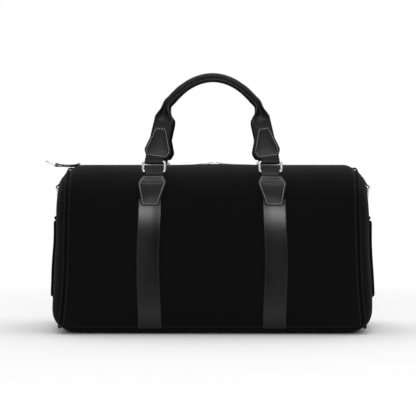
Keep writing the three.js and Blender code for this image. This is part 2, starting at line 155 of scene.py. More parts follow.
def boxOf(node):
    return (np.array(c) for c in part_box(node))


def rounded(value, power):
    return np.sign(value) * np.abs(value) ** power


def unit(v):
    return v / np.maximum(np.linalg.norm(v, axis=-1, keepdims=True), 1e-12)


def smooth(low, high, x):
    t = np.clip((x - low) / (high - low), 0, 1)
    return t * t * (3 - 2 * t)


# Points evenly spaced by length along a smooth curve through a few given points (Catmull-Rom).
def smoothPath(points, count):
    p = np.asarray(points, float)
    p = np.concatenate([2 * p[:1] - p[1:2], p, 2 * p[-1:] - p[-2:-1]])
    t = np.linspace(0, 1, 24, endpoint=False)[None, :, None]
    a, b, c, d = (q[:, None] for q in (p[:-3], p[1:-2], p[2:-1], p[3:]))
    line = 0.5 * (2 * b + (c - a) * t + (2 * a - 5 * b + 4 * c - d) * t**2 + (3 * b - a - 3 * c + d) * t**3)
    line = np.concatenate([line.reshape(-1, p.shape[1]), p[-2:-1]])
    return evenly(line, count)


# Distance of each point of a line from its start, along the line.
def lengths(line):
    return np.concatenate([[0], np.cumsum(np.linalg.norm(np.diff(line, axis=0), axis=1))])


# Values of a line's points at given distances along it.
def sampled(line, reach, wanted):
    return np.stack([np.interp(wanted, reach, line[:, k]) for k in range(line.shape[1])], -1)


# The same line with its points evenly spaced.
def evenly(line, count, loop=False):
    reach = lengths(line)
    return sampled(line, reach, np.linspace(0, reach[-1], count, endpoint=not loop))


def turns(count):  # angles evenly spaced round a circle
    return np.arange(count) * 2 * np.pi / count


# Outline of a superellipse, evenly spaced, counterclockwise: width and height halves, and its power.
def roundOutline(half, rise, drop, upper, lower, count):
    angle = np.linspace(0, 2 * np.pi, 2000)
    c, s = np.cos(angle), np.sin(angle)
    power = np.where(s > 0, upper, lower)
    reach = (np.abs(c) ** power + np.abs(s) ** power) ** (-1 / power)
    line = np.stack([half * c * reach, np.where(s > 0, rise, drop) * s * reach], -1)
    return evenly(line, count, loop=True)


# The body's own surface, as in the CAD: a section of two half superellipses, rolled in at the ends.
low, high = boxOf("front_panel")
bagShape = {
    "halfDepth": -low[1],
    "midHeight": 137 * mm,
    "ridge": high[2],
    "floor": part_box("base_panel")[0][2],
    "shoulderPower": 3.4,
    "cornerPower": 12,
    "halfLength": 235.5 * mm,
    "spread": 11 * mm,
    "endRound": 18 * mm,
    "endDepth": 8 * mm,
    "bulge": 17 * mm,
    "bulgePower": 10,
    "bulgePowerTop": 9,
    "wall": 2.6 * mm,
    "seamHeight": low[2],
}


def sectionTable():
    b = bagShape
    outline = roundOutline(b["halfDepth"], b["ridge"] - b["midHeight"], b["midHeight"] - b["floor"],
                           b["shoulderPower"], b["cornerPower"], 6000)
    outline = outline[::-1]
    start = np.argmin(outline[:, 1] + 10 * np.abs(outline[:, 0]))
    outline = np.roll(outline, -start, axis=0)
    outline = np.concatenate([outline, outline[:1]])
    tangent = unit(np.gradient(outline, axis=0))
    tangent[0] = tangent[-1] = [-1, 0]
    length = np.linalg.norm(np.diff(outline, axis=0), axis=1).sum()
    along = np.linspace(-length / 2, length / 2, len(outline))
    return along, outline[:, 0], outline[:, 1] + b["midHeight"], -tangent[:, 1], tangent[:, 0], length


alongTable, yTable, zTable, outYTable, outZTable, girth = sectionTable()


def halfLength(z):
    return bagShape["halfLength"] + bagShape["spread"] * np.maximum(0, 1 - z / (260 * mm)) ** 3


def reachAt(height):  # distance from the ridge down the front to a height on it
    rows = (alongTable < 0) & (alongTable > -girth / 2 + 30 * mm)
    return -np.interp(height, zTable[rows], alongTable[rows])


softness = {
    "swell": 1.6 * mm,  # fullness between the straps
    "strapPull": 1.5 * mm,  # dip of the canvas under a strap
    "strapX": 101 * mm,
    "pucker": 0.55 * mm,  # little gathers along the end seams
    "puckerPitch": 13 * mm,
    "fold": 1.1 * mm,  # slack folds in the lower corners
    "drift": 0.9 * mm,  # slow unevenness of the whole cloth
    "sag": 2.3 * mm,  # of the base between the feet
}


# How far the canvas stands off its ideal shape: slow drifts, a dip under each strap, gathers that
# fade away from the end seams, slanting folds near the lower corners. Sums of sines and bells.
def softLift(x, s, z):
    k = softness
    toEnd = halfLength(z) - np.abs(x)
    drift = (np.sin(x / (61 * mm) + 1.3 + s / (90 * mm)) * np.sin(s / (47 * mm) + 0.4)
             + 0.6 * np.sin(x / (33 * mm) - s / (52 * mm))
             + 0.35 * np.sin(x / (17 * mm) + s / (23 * mm) + 2))
    dip = np.exp(-(((np.abs(x) - k["strapX"]) / (24 * mm)) ** 2))
    swell = np.cos(np.clip(x / (95 * mm), -1, 1) * np.pi / 2) * smooth(25 * mm, 90 * mm, z)
    gathers = np.sin(2 * np.pi * s / k["puckerPitch"] + 2.2 * np.sin(s / (31 * mm)))
    gathers = gathers * np.exp(-toEnd / (11 * mm)) * smooth(-1 * mm, 4 * mm, toEnd)
    lean = (np.abs(x) - 205 * mm) / (34 * mm)
    folds = np.sin((z - 0.55 * np.abs(x)) / (8.5 * mm)) * np.exp(-(lean**2)) * smooth(120 * mm, 30 * mm, z)
    quiet = smooth(0, 12 * mm, np.abs(s)) * smooth(2 * mm, 14 * mm, toEnd) * smooth(4 * mm, 30 * mm, z)
    return (k["drift"] * drift * 0.6 + k["swell"] * swell - k["strapPull"] * dip
            + k["fold"] * folds) * quiet \
        + k["pucker"] * gathers * smooth(2 * mm, 20 * mm, z) \
        + k["sag"] * smooth(9 * mm, 3 * mm, z) * smooth(2 * mm, 25 * mm, toEnd)


# A point on the body: x across, s round the section from the ridge (front is negative), lift outwards.
def onBody(x, s, lift, soft=1):
    s = (s + girth / 2) % girth - girth / 2
    y, z = np.interp(s, alongTable, yTable), np.interp(s, alongTable, zTable)
    outY, outZ = np.interp(s, alongTable, outYTable), np.interp(s, alongTable, outZTable)
    toEnd = halfLength(z) - np.abs(x)
    inset = bagShape["endDepth"] * np.maximum(0, 1 - toEnd / bagShape["endRound"]) ** 2
    out = lift - inset + soft * softLift(x, s, z)
    return np.stack(np.broadcast_arrays(x, y + outY * out, z + outZ * out), -1)


# A point on an end: side 1 right, -1 left, by depth and height, swelling past the seam and rolling in.
def onEnd(side, y, z, lift, soft=1):
    b = bagShape
    rim = b["endDepth"] + 0.4 * mm
    tall = np.where(z > b["midHeight"], b["ridge"] - b["midHeight"], b["midHeight"] - b["floor"]) - rim
    power = np.where(z > b["midHeight"], b["shoulderPower"], b["cornerPower"])
    u, v = np.abs(y) / (b["halfDepth"] - rim), np.abs(z - b["midHeight"]) / tall
    q = np.minimum((u**power + v**power) ** (1 / power), 1)
    drift = np.sin(y / (29 * mm) + z / (41 * mm)) * np.sin(z / (27 * mm)
                                                           + side) + 0.5 * np.sin(y / (13 * mm)
                                                                                  - z / (19 * mm))
    angle = np.arctan2(z - b["midHeight"], y + 1e-9)
    gathers = np.sin(58 * angle + 2 * np.sin(5 * angle)) * np.exp(-(1 - q) / 0.06)
    give = soft * (0.9 * mm * drift * (1 - q**4) + 0.5 * mm * gathers * smooth(1, 0.97, q))
    flat = q ** np.where(z > b["midHeight"], b["bulgePowerTop"], b["bulgePower"])
    x = halfLength(z - rim) + 0.4 * mm + b["bulge"] * (1 - flat) + lift + give
    return np.stack(np.broadcast_arrays(side * x, y, z), -1)


def nodeMaterial(name, color, roughness, metallic=0, specular=0.5, sheen=0):
    material = bpy.data.materials.new(name)
    material.use_nodes = True
    shader = material.node_tree.nodes["Principled BSDF"]
    shader.inputs["Base Color"].default_value = (*color, 1)
    shader.inputs["Roughness"].default_value = roughness
    shader.inputs["Metallic"].default_value = metallic
    shader.inputs["Specular IOR Level"].default_value = specular
    shader.inputs["Sheen Weight"].default_value = sheen
    return material, material.node_tree, shader


def addNode(tree, kind, **values):
    node = tree.nodes.new("ShaderNode" + kind)
    for key, value in values.items():
        if key in node.inputs:
            node.inputs[key].default_value = value
        else:
            setattr(node, key, value)
    return node


def math(tree, operation, a, b=None, c=None):
    node = addNode(tree, "Math", operation=operation)
    for socket, value in zip(node.inputs, (a, b, c)):
        if hasattr(value, "links"):
            tree.links.new(value, socket)
        elif value is not None:
            socket.default_value = value
    return node.outputs[0]


def blended(tree, *terms):  # the sum of values, each by its weight
    total = 0
    for value, weight in terms:
        total = math(tree, "MULTIPLY_ADD", value, weight, total)
    return total


# Colour between two tones by a factor, into the shader's base colour.
def tone(tree, shader, factor, dark, light):
    mix = addNode(tree, "Mix", data_type="RGBA")
    tree.links.new(factor, mix.inputs["Factor"])
    mix.inputs["A"].default_value = (*dark, 1)
    mix.inputs["B"].default_value = (*light, 1)
    tree.links.new(mix.outputs["Result"], shader.inputs["Base Color"])


def spread(tree, value, low, high):  # a 0 to 1 value carried onto another range
    node = addNode(tree, "MapRange", clamp=False)
    tree.links.new(value, node.inputs["Value"])
    node.inputs["To Min"].default_value = low
    node.inputs["To Max"].default_value = high
    return node.outputs["Result"]


def dull(tree, shader, value, low, high):
    tree.links.new(spread(tree, value, low, high), shader.inputs["Roughness"])


def noise(tree, vector, scale, detail=3, roughness=0.5):
    node = addNode(tree, "TexNoise", Scale=scale, Detail=detail, Roughness=roughness)
    tree.links.new(vector, node.inputs["Vector"])
    return node.outputs["Fac"]


def bump(tree, shader, height, strength, distance):
    node = addNode(tree, "Bump", Strength=strength, Distance=distance)
    tree.links.new(height, node.inputs["Height"])
    tree.links.new(node.outputs["Normal"], shader.inputs["Normal"])


def coordinates(tree, kind="Object"):
    return addNode(tree, "TexCoord").outputs[kind]


def clothAxes(tree):
    uv = coordinates(tree, "UV")
    parts = addNode(tree, "SeparateXYZ")
    tree.links.new(uv, parts.inputs[0])
    return uv, parts.outputs["X"], parts.outputs["Y"]


# Plain weave: two sets of threads, each a sine over the cloth, the higher of the two on top.
def wovenMaterial(name, color, light, pitch, roughness, specular, sheen, depth):
    material, tree, shader = nodeMaterial(name, color, roughness, specular=specular, sheen=sheen)
    uv, across, along = clothAxes(tree)
    turn = np.pi / pitch
    warp = math(tree, "SINE", math(tree, "MULTIPLY", across, turn))
    weft = math(tree, "SINE", math(tree, "MULTIPLY", along, turn))
    checker = math(tree, "MULTIPLY", warp, weft)
    threads = math(tree, "ADD", math(tree, "ABSOLUTE", warp), math(tree, "ABSOLUTE", weft))
    slubs = noise(tree, uv, 0.9 / pitch, 4, 0.6)
    bump(tree, shader, blended(tree, (checker, 0.35), (threads, 0.5), (slubs, 0.8)), 0.55, depth)
    cloud = noise(tree, coordinates(tree), 22, 5, 0.62)
    tone(tree, shader, blended(tree, (slubs, 0.55), (cloud, 0.45)), color, light)
    dull(tree, shader, cloud, roughness - 0.08, min(roughness + 0.08, 1))
    return material


# Ribbed satin webbing: fine ribs across its length and a faint lengthwise thread.
def webbingMaterial(name, color, light, ribPitch, roughness, specular):
    material, tree, shader = nodeMaterial(name, color, roughness, specular=specular, sheen=0.02)
    uv, across, along = clothAxes(tree)
    ribs = math(tree, "SINE", math(tree, "MULTIPLY", along, 2 * np.pi / ribPitch))
    threads = math(tree, "SINE", math(tree, "MULTIPLY", across, 2 * np.pi / (0.9 * mm)))
    fuzz = noise(tree, uv, 900, 3, 0.6)
    bump(tree, shader, blended(tree, (ribs, 0.6), (threads, 0.22), (fuzz, 0.5)), 0.22, 0.06 * mm)
    tone(tree, shader, spread(tree, ribs, 0.35, 0.65), color, light)
    wear = noise(tree, coordinates(tree), 35, 4, 0.6)
    dull(tree, shader, wear, roughness - 0.04, roughness + 0.06)
    return material


# Leather: a cell grain with fine creases, paler and rougher where it is rubbed.
def leatherMaterial(name, color, light, roughness, grain=1400, depth=0.09 * mm, specular=0.5):
    material, tree, shader = nodeMaterial(name, color, roughness, specular=specular)
    place = coordinates(tree)
    cells = addNode(tree, "TexVoronoi", Scale=grain, feature="SMOOTH_F1", Smoothness=0.35)
    tree.links.new(place, cells.inputs["Vector"])
    creases = noise(tree, place, grain * 0.16, 6, 0.68)
    bump(tree, shader, blended(tree, (cells.outputs["Distance"], 0.7), (creases, 1.1)), 0.42, depth)
    rub = noise(tree, place, 45, 5, 0.6)
    tone(tree, shader, rub, color, light)
    dull(tree, shader, rub, roughness - 0.07, roughness + 0.1)
    return material


# Plated metal: even colour with fine brushing and a few dull patches.
def metalMaterial(name, color, light, roughness):
    material, tree, shader = nodeMaterial(name, color, roughness, metallic=1)
    place = coordinates(tree)
    haze = noise(tree, place, 160, 4, 0.6)
    fine = noise(tree, place, 2600, 2, 0.5)
    tone(tree, shader, haze, color, light)
    dull(tree, shader, haze, roughness - 0.06, roughness + 0.1)
    bump(tree, shader, fine, 0.08, 0.03 * mm)
    return material


# Thread: twisted strands as slanting sines over its surface.
def threadMaterial(name, color, light):
    material, tree, shader = nodeMaterial(name, color, 0.62, specular=0.35, sheen=0.2)
    strands = addNode(tree, "TexWave", Scale=900, Distortion=1.5)
    tree.links.new(coordinates(tree), strands.inputs["Vector"])
    tone(tree, shader, strands.outputs["Fac"], color, light)
    bump(tree, shader, strands.outputs["Fac"], 0.3, 0.1 * mm)
    return material


canvas = wovenMaterial("canvas", (0.0012, 0.0012, 0.0013), (0.0034, 0.0034, 0.0036), 1.1 * mm, 0.85, 0.09,
                       0.02, 0.25 * mm)
liningCloth = wovenMaterial("liningCloth", (0.014, 0.014, 0.016), (0.022, 0.022, 0.025), 0.5 * mm, 0.6,
                            0.3, 0.1, 0.05 * mm)
tapeCloth = wovenMaterial("tapeCloth", (0.008, 0.008, 0.009), (0.016, 0.016, 0.017), 0.7 * mm, 0.8, 0.3,
                          0.1, 0.1 * mm)
satinWebbing = webbingMaterial("satinWebbing", (0.0012, 0.0012, 0.0013), (0.0026, 0.0026, 0.0027),
                               1.5 * mm, 0.22, 0.33)
sideWebbing = webbingMaterial("sideWebbing", (0.008, 0.008, 0.0085), (0.015, 0.015, 0.016), 2.2 * mm, 0.6,
                              0.35)
leather = leatherMaterial("leather", (0.005, 0.005, 0.0054), (0.0095, 0.0095, 0.01), 0.38, specular=0.3)
# A darker, less glossy copy of the leather for the loops, handles and handle eyes: painted shade, since
# these are the same leather as the patches.
shadedLeather = leatherMaterial("shadedLeather", (0.004, 0.004, 0.0042), (0.008, 0.008, 0.0082), 0.42,
                              specular=0.25)
# Darker, rougher leather on the shields' rims: painted shade along their turned-down edges.
rimShadeLeather = leatherMaterial("rimShadeLeather", (0.003, 0.003, 0.003), (0.006, 0.006, 0.006), 0.5, 500,
                            0.03 * mm, 0.2)
pipingLeather = leatherMaterial("pipingLeather", (0.002, 0.002, 0.0021), (0.005, 0.005, 0.0051), 0.6,
                                specular=0.12)
nickel = metalMaterial("nickel", (0.70, 0.69, 0.67), (0.86, 0.85, 0.83), 0.3)
zipMetal = metalMaterial("zipMetal", (0.34, 0.335, 0.325), (0.52, 0.51, 0.50), 0.34)
footMetal = metalMaterial("footMetal", (0.26, 0.22, 0.16), (0.42, 0.36, 0.27), 0.38)
paleThread = threadMaterial("paleThread", (0.55, 0.545, 0.52), (0.8, 0.79, 0.76))
darkThread = threadMaterial("darkThread", (0.012, 0.012, 0.012), (0.03, 0.03, 0.03))
boardPlastic = leatherMaterial("boardPlastic", (0.03, 0.03, 0.03), (0.05, 0.05, 0.05), 0.6, 300, 0.05 * mm)
print("materials done")


# A row of stitches along a line: each a short capsule that dips into the cloth at both ends.
def stitchRow(name, line, normals, material, length=2.6 * mm, pitch=3.4 * mm, radius=0.42 * mm,
              lift=0.15 * mm):
    reach = lengths(line)
    count = max(int(reach[-1] / pitch), 1)
    centre = (np.arange(count) + 0.5) * reach[-1] / count
    at = sampled(line, reach, centre)
    up = unit(sampled(normals, reach, centre))
    ahead = unit(sampled(line, reach, centre + 0.3 * mm) - sampled(line, reach, centre - 0.3 * mm))
    across = unit(np.cross(up, ahead))
    t = np.array([-1, -0.8, -0.35, 0.35, 0.8, 1.0])
    thick = radius * np.array([0.25, 0.8, 1, 1, 0.8, 0.25])
    rise = lift - 1.3 * radius * np.abs(t) ** 4
    angle = turns(6)
    ringAcross = thick[:, None] * np.cos(angle)
    ringUp = rise[:, None] + thick[:, None] * np.sin(angle)
    ringAhead = np.repeat(t[:, None] * length / 2, 6, axis=1)
    points = (at[:, None, None] + ahead[:, None, None] * ringAhead[None, ..., None]
              + across[:, None, None] * ringAcross[None, ..., None]
              + up[:, None, None] * ringUp[None, ..., None])
    quads = gridQuads(6, 6, False, True)
    ends = np.array([[5, 4, 3, 2, 1, 0], [30, 31, 32, 33, 34, 35]])
    shift = (np.arange(count) * 36)[:, None, None]
    return meshObject(name, points.reshape(-1, 3),
                      [(quads[None] + shift).reshape(-1, 4), (ends[None] + shift).reshape(-1, 6)],
                      material=material)


# Several rows of stitches on the bag as one piece.
def stitchRows(name, lines, slot, material, **how):
    rows = [stitchRow("row", line, up, material, **how) for line, up in lines]
    place(joined(name, rows), "bag", slot)


# A line that lies on the body, and its normals by a small step outwards.
def bodyLine(x, s, lift):
    line = onBody(x, s, lift)
    return line, onBody(x, s, lift + 1 * mm) - line


canvasBody = {"rowsFront": 150, "columnsFront": 230, "rowsBase": 70, "rowsEnd": 110, "columnsEnd": 96,
              "gap": 0.4 * mm, "zipEdge": 12.4 * mm, "foldRadius": 1.2 * mm}


def crowd(t):  # draws grid lines together towards both ends of -1 to 1
    return np.sin(t * np.pi / 2)


# A panel of the body: x over its whole length, s between two distances, edges turned under a little.
def bodyPanel(name, start, end, rows, columns):
    u = crowd(crowd(np.linspace(-1, 1, columns))[None] * 0.999)
    u = 0.35 * u + 0.65 * np.linspace(-1, 1, columns)[None]
    s = (start + (end - start) * (crowd(np.linspace(-1, 1, rows)) * 0.5 + np.linspace(-1, 1, rows) * 0.5
                                  + 1) / 2)[:, None]
    wrapped = (s + girth / 2) % girth - girth / 2
    z = np.interp(wrapped, alongTable, zTable)
    x = u * halfLength(z)
    toRim = np.minimum(np.abs(s - start), np.abs(end - s))
    turn = canvasBody["foldRadius"]
    under = -turn * (1 - np.sqrt(np.clip(1 - (1 - np.clip(toRim / turn, 0, 1)) ** 2, 0, 1)))
    uv = np.stack([x, s + 0 * x], -1)
    return shellPiece(name, onBody(x, s, under), onBody(x, s, -bagShape["wall"]), uv, canvas)


def makeBody():
    c = canvasBody
    seam = reachAt(bagShape["seamHeight"])
    panels = {
        "front_panel": bodyPanel("frontCanvas", -seam, -c["zipEdge"], c["rowsFront"], c["columnsFront"]),
        "back_panel": bodyPanel("backCanvas", c["zipEdge"], seam, c["rowsFront"], c["columnsFront"]),
        "base_panel": bodyPanel("baseCanvas", seam + c["gap"], girth - seam - c["gap"], c["rowsBase"], 150),
        "left_end_panel": endPanel("left", -1),
        "right_end_panel": endPanel("right", 1),
    }
    for node, panel in panels.items():
        place(panel, "bag", "canvas", node)


# An end panel: the square grid drawn to the section's outline, then swollen outwards.
def endPanel(side, sign):
    b = bagShape
    v, u = np.meshgrid(crowd(np.linspace(-1, 1, canvasBody["rowsEnd"])),
                       crowd(np.linspace(-1, 1, canvasBody["columnsEnd"])),
                       indexing="ij")
    rim = b["endDepth"] + 0.4 * mm
    q = np.maximum(np.maximum(np.abs(u), np.abs(v)), 1e-6)
    power = np.where(v > 0, b["shoulderPower"], b["cornerPower"])
    reach = np.maximum((np.abs(u / q) ** power + np.abs(v / q) ** power), 1e-9) ** (-1 / power)
    tall = np.where(v > 0, b["ridge"] - b["midHeight"], b["midHeight"] - b["floor"]) - rim
    y = (b["halfDepth"] - rim) * u * reach
    z = b["midHeight"] + tall * v * reach
    return shellPiece(f"{side}EndCanvas", onEnd(sign, y, z, b["wall"]), onEnd(sign, y, z, 0),
                      np.stack([y, z], -1), canvas)


makeBody()
print("canvas body done")


piping = {"inset": 5.4 * mm, "radius": 1.7 * mm, "out": 1.6 * mm, "steps": 420, "around": 12}


# The seam round an end as a closed line: out from the panel's rim by a little, inset from the section.
def seamLine(sign, count, out, inset):
    s = np.linspace(-girth / 2, girth / 2, count, endpoint=False)
    z = np.interp(s, alongTable, zTable)
    line = onBody(0 * s, s, -inset, soft=0)
    wobble = 0.35 * mm * np.sin(s / (19 * mm)) + 0.2 * mm * np.sin(s / (7 * mm) + 1)
    line[:, 0] = sign * (halfLength(z) + out + wobble)
    return line, unit(onBody(0 * s, s, 1 * mm, soft=0) - onBody(0 * s, s, 0, soft=0))


def makePiping():
    p = piping
    for side, sign in bagSides:
        line, out = seamLine(sign, p["steps"], p["out"], p["inset"])
        rings = tubeRings(line, out, np.array([sign, 0, 0]), p["radius"], p["radius"], p["around"])
        place(loftPiece(f"{side}Piping", rings, loop=True, material=pipingLeather), "bag", "piping",
              f"{side}_piping")


def makeSeamStitches():
    seam = reachAt(bagShape["seamHeight"])
    lines = []
    edge = canvasBody["zipEdge"] + 3.2 * mm
    for sign in (-1, 1):
        s = np.linspace(-seam + 3 * mm, -edge, 300)
        for way in (1, -1):
            z = np.interp(way * s, alongTable, zTable)
            lines.append(bodyLine(sign * (halfLength(z) - 5.5 * mm), way * s, 0))
        x = np.linspace(-halfLength(0.27) + 12 * mm, halfLength(0.27) - 12 * mm, 400)
        lines.append(bodyLine(x, sign * edge, 0))
        x = np.linspace(-halfLength(0.01) + 14 * mm, halfLength(0.01) - 14 * mm, 400)
        lines.append(bodyLine(x, sign * (seam - 3.5 * mm), 0))
    stitchRows("seamStitches", lines, "canvas", darkThread, pitch=3.8 * mm)


makePiping()
makeSeamStitches()
print("piping and seam stitches done")


strap = {"x": 101.6 * mm, "halfWidth": 18.6 * mm, "thickness": 1.5 * mm, "lift": 0.35 * mm, "rows": 150,
         "sway": 2.4 * mm, "stitchInset": 1.9 * mm, "top": 217 * mm}


# A flat strap's section: a rounded rectangle, across and up.
def strapSection(halfWidth, thickness, count=30):
    across = np.concatenate([crowd(np.linspace(-1, 1, count)) * halfWidth,
                             crowd(np.linspace(1, -1, count)) * halfWidth])
    ease = np.sqrt(np.clip(1 - (np.clip((np.abs(across) - halfWidth + thickness) / thickness, 0, 1)) ** 2,
                           0, 1))
    up = np.concatenate([-np.ones(count), np.ones(count)]) * thickness / 2 * np.maximum(ease, 0.25)
    return across, up


def strapCentre(sign, s):
    lean = smooth(0, 1, (np.abs(s) - reachAt(223 * mm)) / (reachAt(11 * mm) - reachAt(223 * mm)))
    return sign * (strap["x"] + strap["sway"] * (np.sin(np.pi * lean) * 1.3 - 0.6))


def makeStraps():
    k = strap
    across, up = strapSection(k["halfWidth"], k["thickness"])
    for face, way, side, sign in strapPlaces:
        s = way * np.linspace(reachAt(10.6 * mm), reachAt(k["top"]), k["rows"])[:, None]
        x = strapCentre(sign, s) + across[None]
        rings = onBody(x, s, k["lift"] + k["thickness"] / 2 + up[None])
        uv = np.stack([x, s + 0 * x], -1)
        piece = loftPiece(f"{face}{side.title()}Strap", rings, uv=uv, material=satinWebbing)
        place(piece, "bag", "webbing", f"{face}_{side}_strap")
        middle, reach = strapCentre(sign, s[:, 0]), k["halfWidth"] - k["stitchInset"]
        lines = [bodyLine(middle + edge * reach, s[:, 0], k["lift"] + k["thickness"]) for edge in (-1, 1)]
        stitchRows(f"{face}{side.title()}StrapStitches", lines, "webbing", edgeThread, pitch=3 * mm,
                   radius=0.32 * mm, lift=0)


edgeThread = threadMaterial("edgeThread", (0.008, 0.008, 0.008), (0.02, 0.02, 0.0195))
makeStraps()
print("straps done")


# A polygon with rounded corners, its points about evenly spaced, counterclockwise.
def roundedPolygon(corners, radius, count=160):
    corners = np.asarray(corners, float)
    line = []
    t = np.linspace(0, 1, 14)[:, None]
    for i, corner in enumerate(corners):
        before, after = corners[i - 1], corners[(i + 1) % len(corners)]
        start = corner + unit(before - corner) * radius
        end = corner + unit(after - corner) * radius
        line.append((1 - t) ** 2 * start + 2 * t * (1 - t) * corner + t**2 * end)
    line = np.concatenate(line + [line[0][:1]])
    return evenly(line, count, loop=True)


def inwards(outline):  # unit normals that point into a counterclockwise outline
    tangent = unit(np.roll(outline, -1, axis=0) - np.roll(outline, 1, axis=0))
    return np.stack([-tangent[:, 1], tangent[:, 0]], -1)


# A sewn leather shield: rings that climb its rounded edge, dip along the stitch line and dome to the
# middle. surface(a, b, h) carries local across, up and height onto the bag.
def shield(name, outline, surface, base, edge, dome, groove, crease, thread=paleThread):
    inner = inwards(outline)
    steps = [(0.5, 0), (0.12, 0.04), (0, 0.3), (0, 0.62), (0.25, 0.86), (0.8, 0.98), (1.5, 1), (2.3, 0.93),
             (groove, 0.8), (groove + 0.9, 0.95), (groove + 2, 1.02)]
    rings = [outline + inner * d * mm for d, h in steps]
    heights = [np.full(len(outline), base + edge * h) for d, h in steps]
    centre = rings[-1].mean(0)
    right = rings[-1][rings[-1][:, 0] > 0]
    right = right[np.argsort(right[:, 1])]
    foot, head = rings[-1][:, 1].min(), rings[-1][:, 1].max()
    for t in np.linspace(0.96, 0.02, 34):
        ring = centre + (rings[len(steps) - 1] - centre) * t
        a = ring[:, 0] / np.interp(ring[:, 1], right[:, 1], right[:, 0])
        b = (2 * ring[:, 1] - foot - head) / (head - foot)
        swell = np.clip(1 - np.abs(a) ** 2.4, 0, 1) * np.clip(1 - np.abs(b) ** 2.4, 0, 1)
        lift = base + edge * 1.02 + dome * swell
        for at, depth in crease:
            fade = smooth(1, 0.8, t)
            lift = lift - depth * fade * np.exp(-(((ring[:, 1] - at) / (1.2 * mm)) ** 2))
            lift = lift + depth * fade * 0.8 * np.exp(-(((ring[:, 1] - at - 2.2 * mm) / (1.6 * mm)) ** 2))
        rings.append(ring)
        heights.append(lift + 0 * ring[:, 0])
    flat = np.stack(rings)
    points = surface(flat[..., 0], flat[..., 1], np.stack(heights))
    piece = loftPiece(name, points, material=leather)
    # The rim's outer faces take the darker rim leather: painted shade on the turned-down edge.
    piece.data.materials.append(rimShadeLeather)
    slots = np.zeros(len(piece.data.polygons), np.int32)
    slots[:5 * len(outline)] = 1
    piece.data.polygons.foreach_set("material_index", slots)
    path = outline + inner * (groove - 0.1) * mm
    path = np.concatenate([path, path[:1]])
    line = surface(path[:, 0], path[:, 1], base + edge * 0.8)
    up = surface(path[:, 0], path[:, 1], base + edge * 0.8 + 1 * mm) - line
    return piece, stitchRow(name + "Stitches", line, up, thread, length=2.0 * mm, pitch=4.0 * mm,
                            radius=0.48 * mm, lift=0.35 * mm)


# A shield's outline: its foot, its widest place and its head, with rounded corners.
def shieldOutline(k, height):
    right = [(k["footHalf"], 0), (k["wideHalf"], height * k["wideAt"]), (k["headHalf"], height)]
    left = [(-x, y) for x, y in right[::-1]]
    return roundedPolygon(left[-1:] + right + left[:-1], k["corner"])


lowerPatch = {"top": 254.5 * mm, "foot": 207 * mm, "footHalf": 13.4 * mm, "wideHalf": 23.6 * mm,
              "headHalf": 16.6 * mm, "wideAt": 0.7, "corner": 3.6 * mm, "shiftFoot": 100 * mm,
              "shiftHead": 95.7 * mm}


def makeLowerPatches():
    k = lowerPatch
    start, end = reachAt(k["foot"]), reachAt(k["top"])
    height = start - end
    outline = shieldOutline(k, height)
    for face, way, side, sign in strapPlaces:
        def surface(a, b, h):
            share = b / height
            x = sign * (k["shiftFoot"] + (k["shiftHead"] - k["shiftFoot"]) * share)
            return onBody(x - way * a, way * (start - b), h)
        name = f"{face}{side.title()}Patch"
        piece, stitches = shield(name, outline, surface, 0.2 * mm, 3.1 * mm, 0.9 * mm, 3.2,
                                 [(height * 0.71, 0.75 * mm)])
        place(piece, "bag", "leather", f"{face}_{side}_patch")
        place(stitches, "bag", "leather")


makeLowerPatches()
print("lower patches done")


# A strap of even width bent along a path that lies in a plane: rounded section, width along one axis.
def foldedStrap(name, path, widthAxis, halfWidth, thickness, material=leather, count=20):
    across, up = strapSection(halfWidth, thickness, count)
    tangent = unit(np.gradient(path, axis=0))
    widthAxis = np.broadcast_to(widthAxis, path.shape)
    normal = unit(np.cross(tangent, widthAxis))
    rings = path[:, None] + widthAxis[:, None] * across[None, :, None] + normal[:, None] * up[None, :, None]
    return loftPiece(name, rings, material=material)


loop = {"x": 94.5 * mm, "halfWidth": 15 * mm, "thickness": 1.7 * mm, "round": 3.2 * mm}
ringLow, ringHigh = boxOf("front_left_ring")
ringPlace = {"y": (ringLow[1] + ringHigh[1]) / 2, "barLow": ringLow[2] + 2 * mm,
             "barHigh": ringHigh[2] - 2 * mm, "halfWidth": (ringHigh[0] - ringLow[0]) / 2 - 2 * mm,
             "wire": 2.1 * mm}


# The loop's path: up the canvas from under the patch, over the ring's lower bar, and back down beneath.
def makeLoops():
    k, r = loop, ringPlace
    low, high = reachAt(242 * mm), reachAt(253.5 * mm)
    bar = np.array([r["y"], r["barLow"]])
    for face, way, side, sign in strapPlaces:
        x = sign * k["x"]
        outer = onBody(np.full(3, x), way * np.linspace(low, high - 1 * mm, 3),
                       np.array([1.5, 1.7, 2.6]) * mm)
        inner = onBody(np.full(3, x), way * np.linspace(high - 3 * mm, low, 3), np.full(3, 0.6 * mm))
        angle = np.radians([200, 160, 115, 70, 25, -20, -65])
        turn = np.stack([np.full(7, x), -way * (bar[0] + k["round"] * np.cos(angle)),
                         bar[1] + k["round"] * np.sin(angle)], -1)
        path = smoothPath(np.concatenate([outer, turn, inner]), 64)
        piece = foldedStrap(f"{face}{side.title()}Loop", path, np.array([1.0, 0, 0]), k["halfWidth"],
                            k["thickness"], shadedLeather)
        place(piece, "bag", "leather", f"{face}_{side}_loop")


# A wire bent round a closed flat outline; the two axes are the outline's across and up.
def wireRing(name, outline, centre, acrossAxis, upAxis, wire, material, around=14, flatten=1.0):
    acrossAxis, upAxis = np.asarray(acrossAxis, float), np.asarray(upAxis, float)
    out = -inwards(outline)
    side = np.cross(acrossAxis, upAxis)
    line = centre + outline[:, :1] * acrossAxis + outline[:, 1:] * upAxis
    radial = out[:, :1] * acrossAxis + out[:, 1:] * upAxis
    rings = tubeRings(line, radial, side, wire, wire * flatten, around)
    return loftPiece(name, rings, loop=True, material=material)


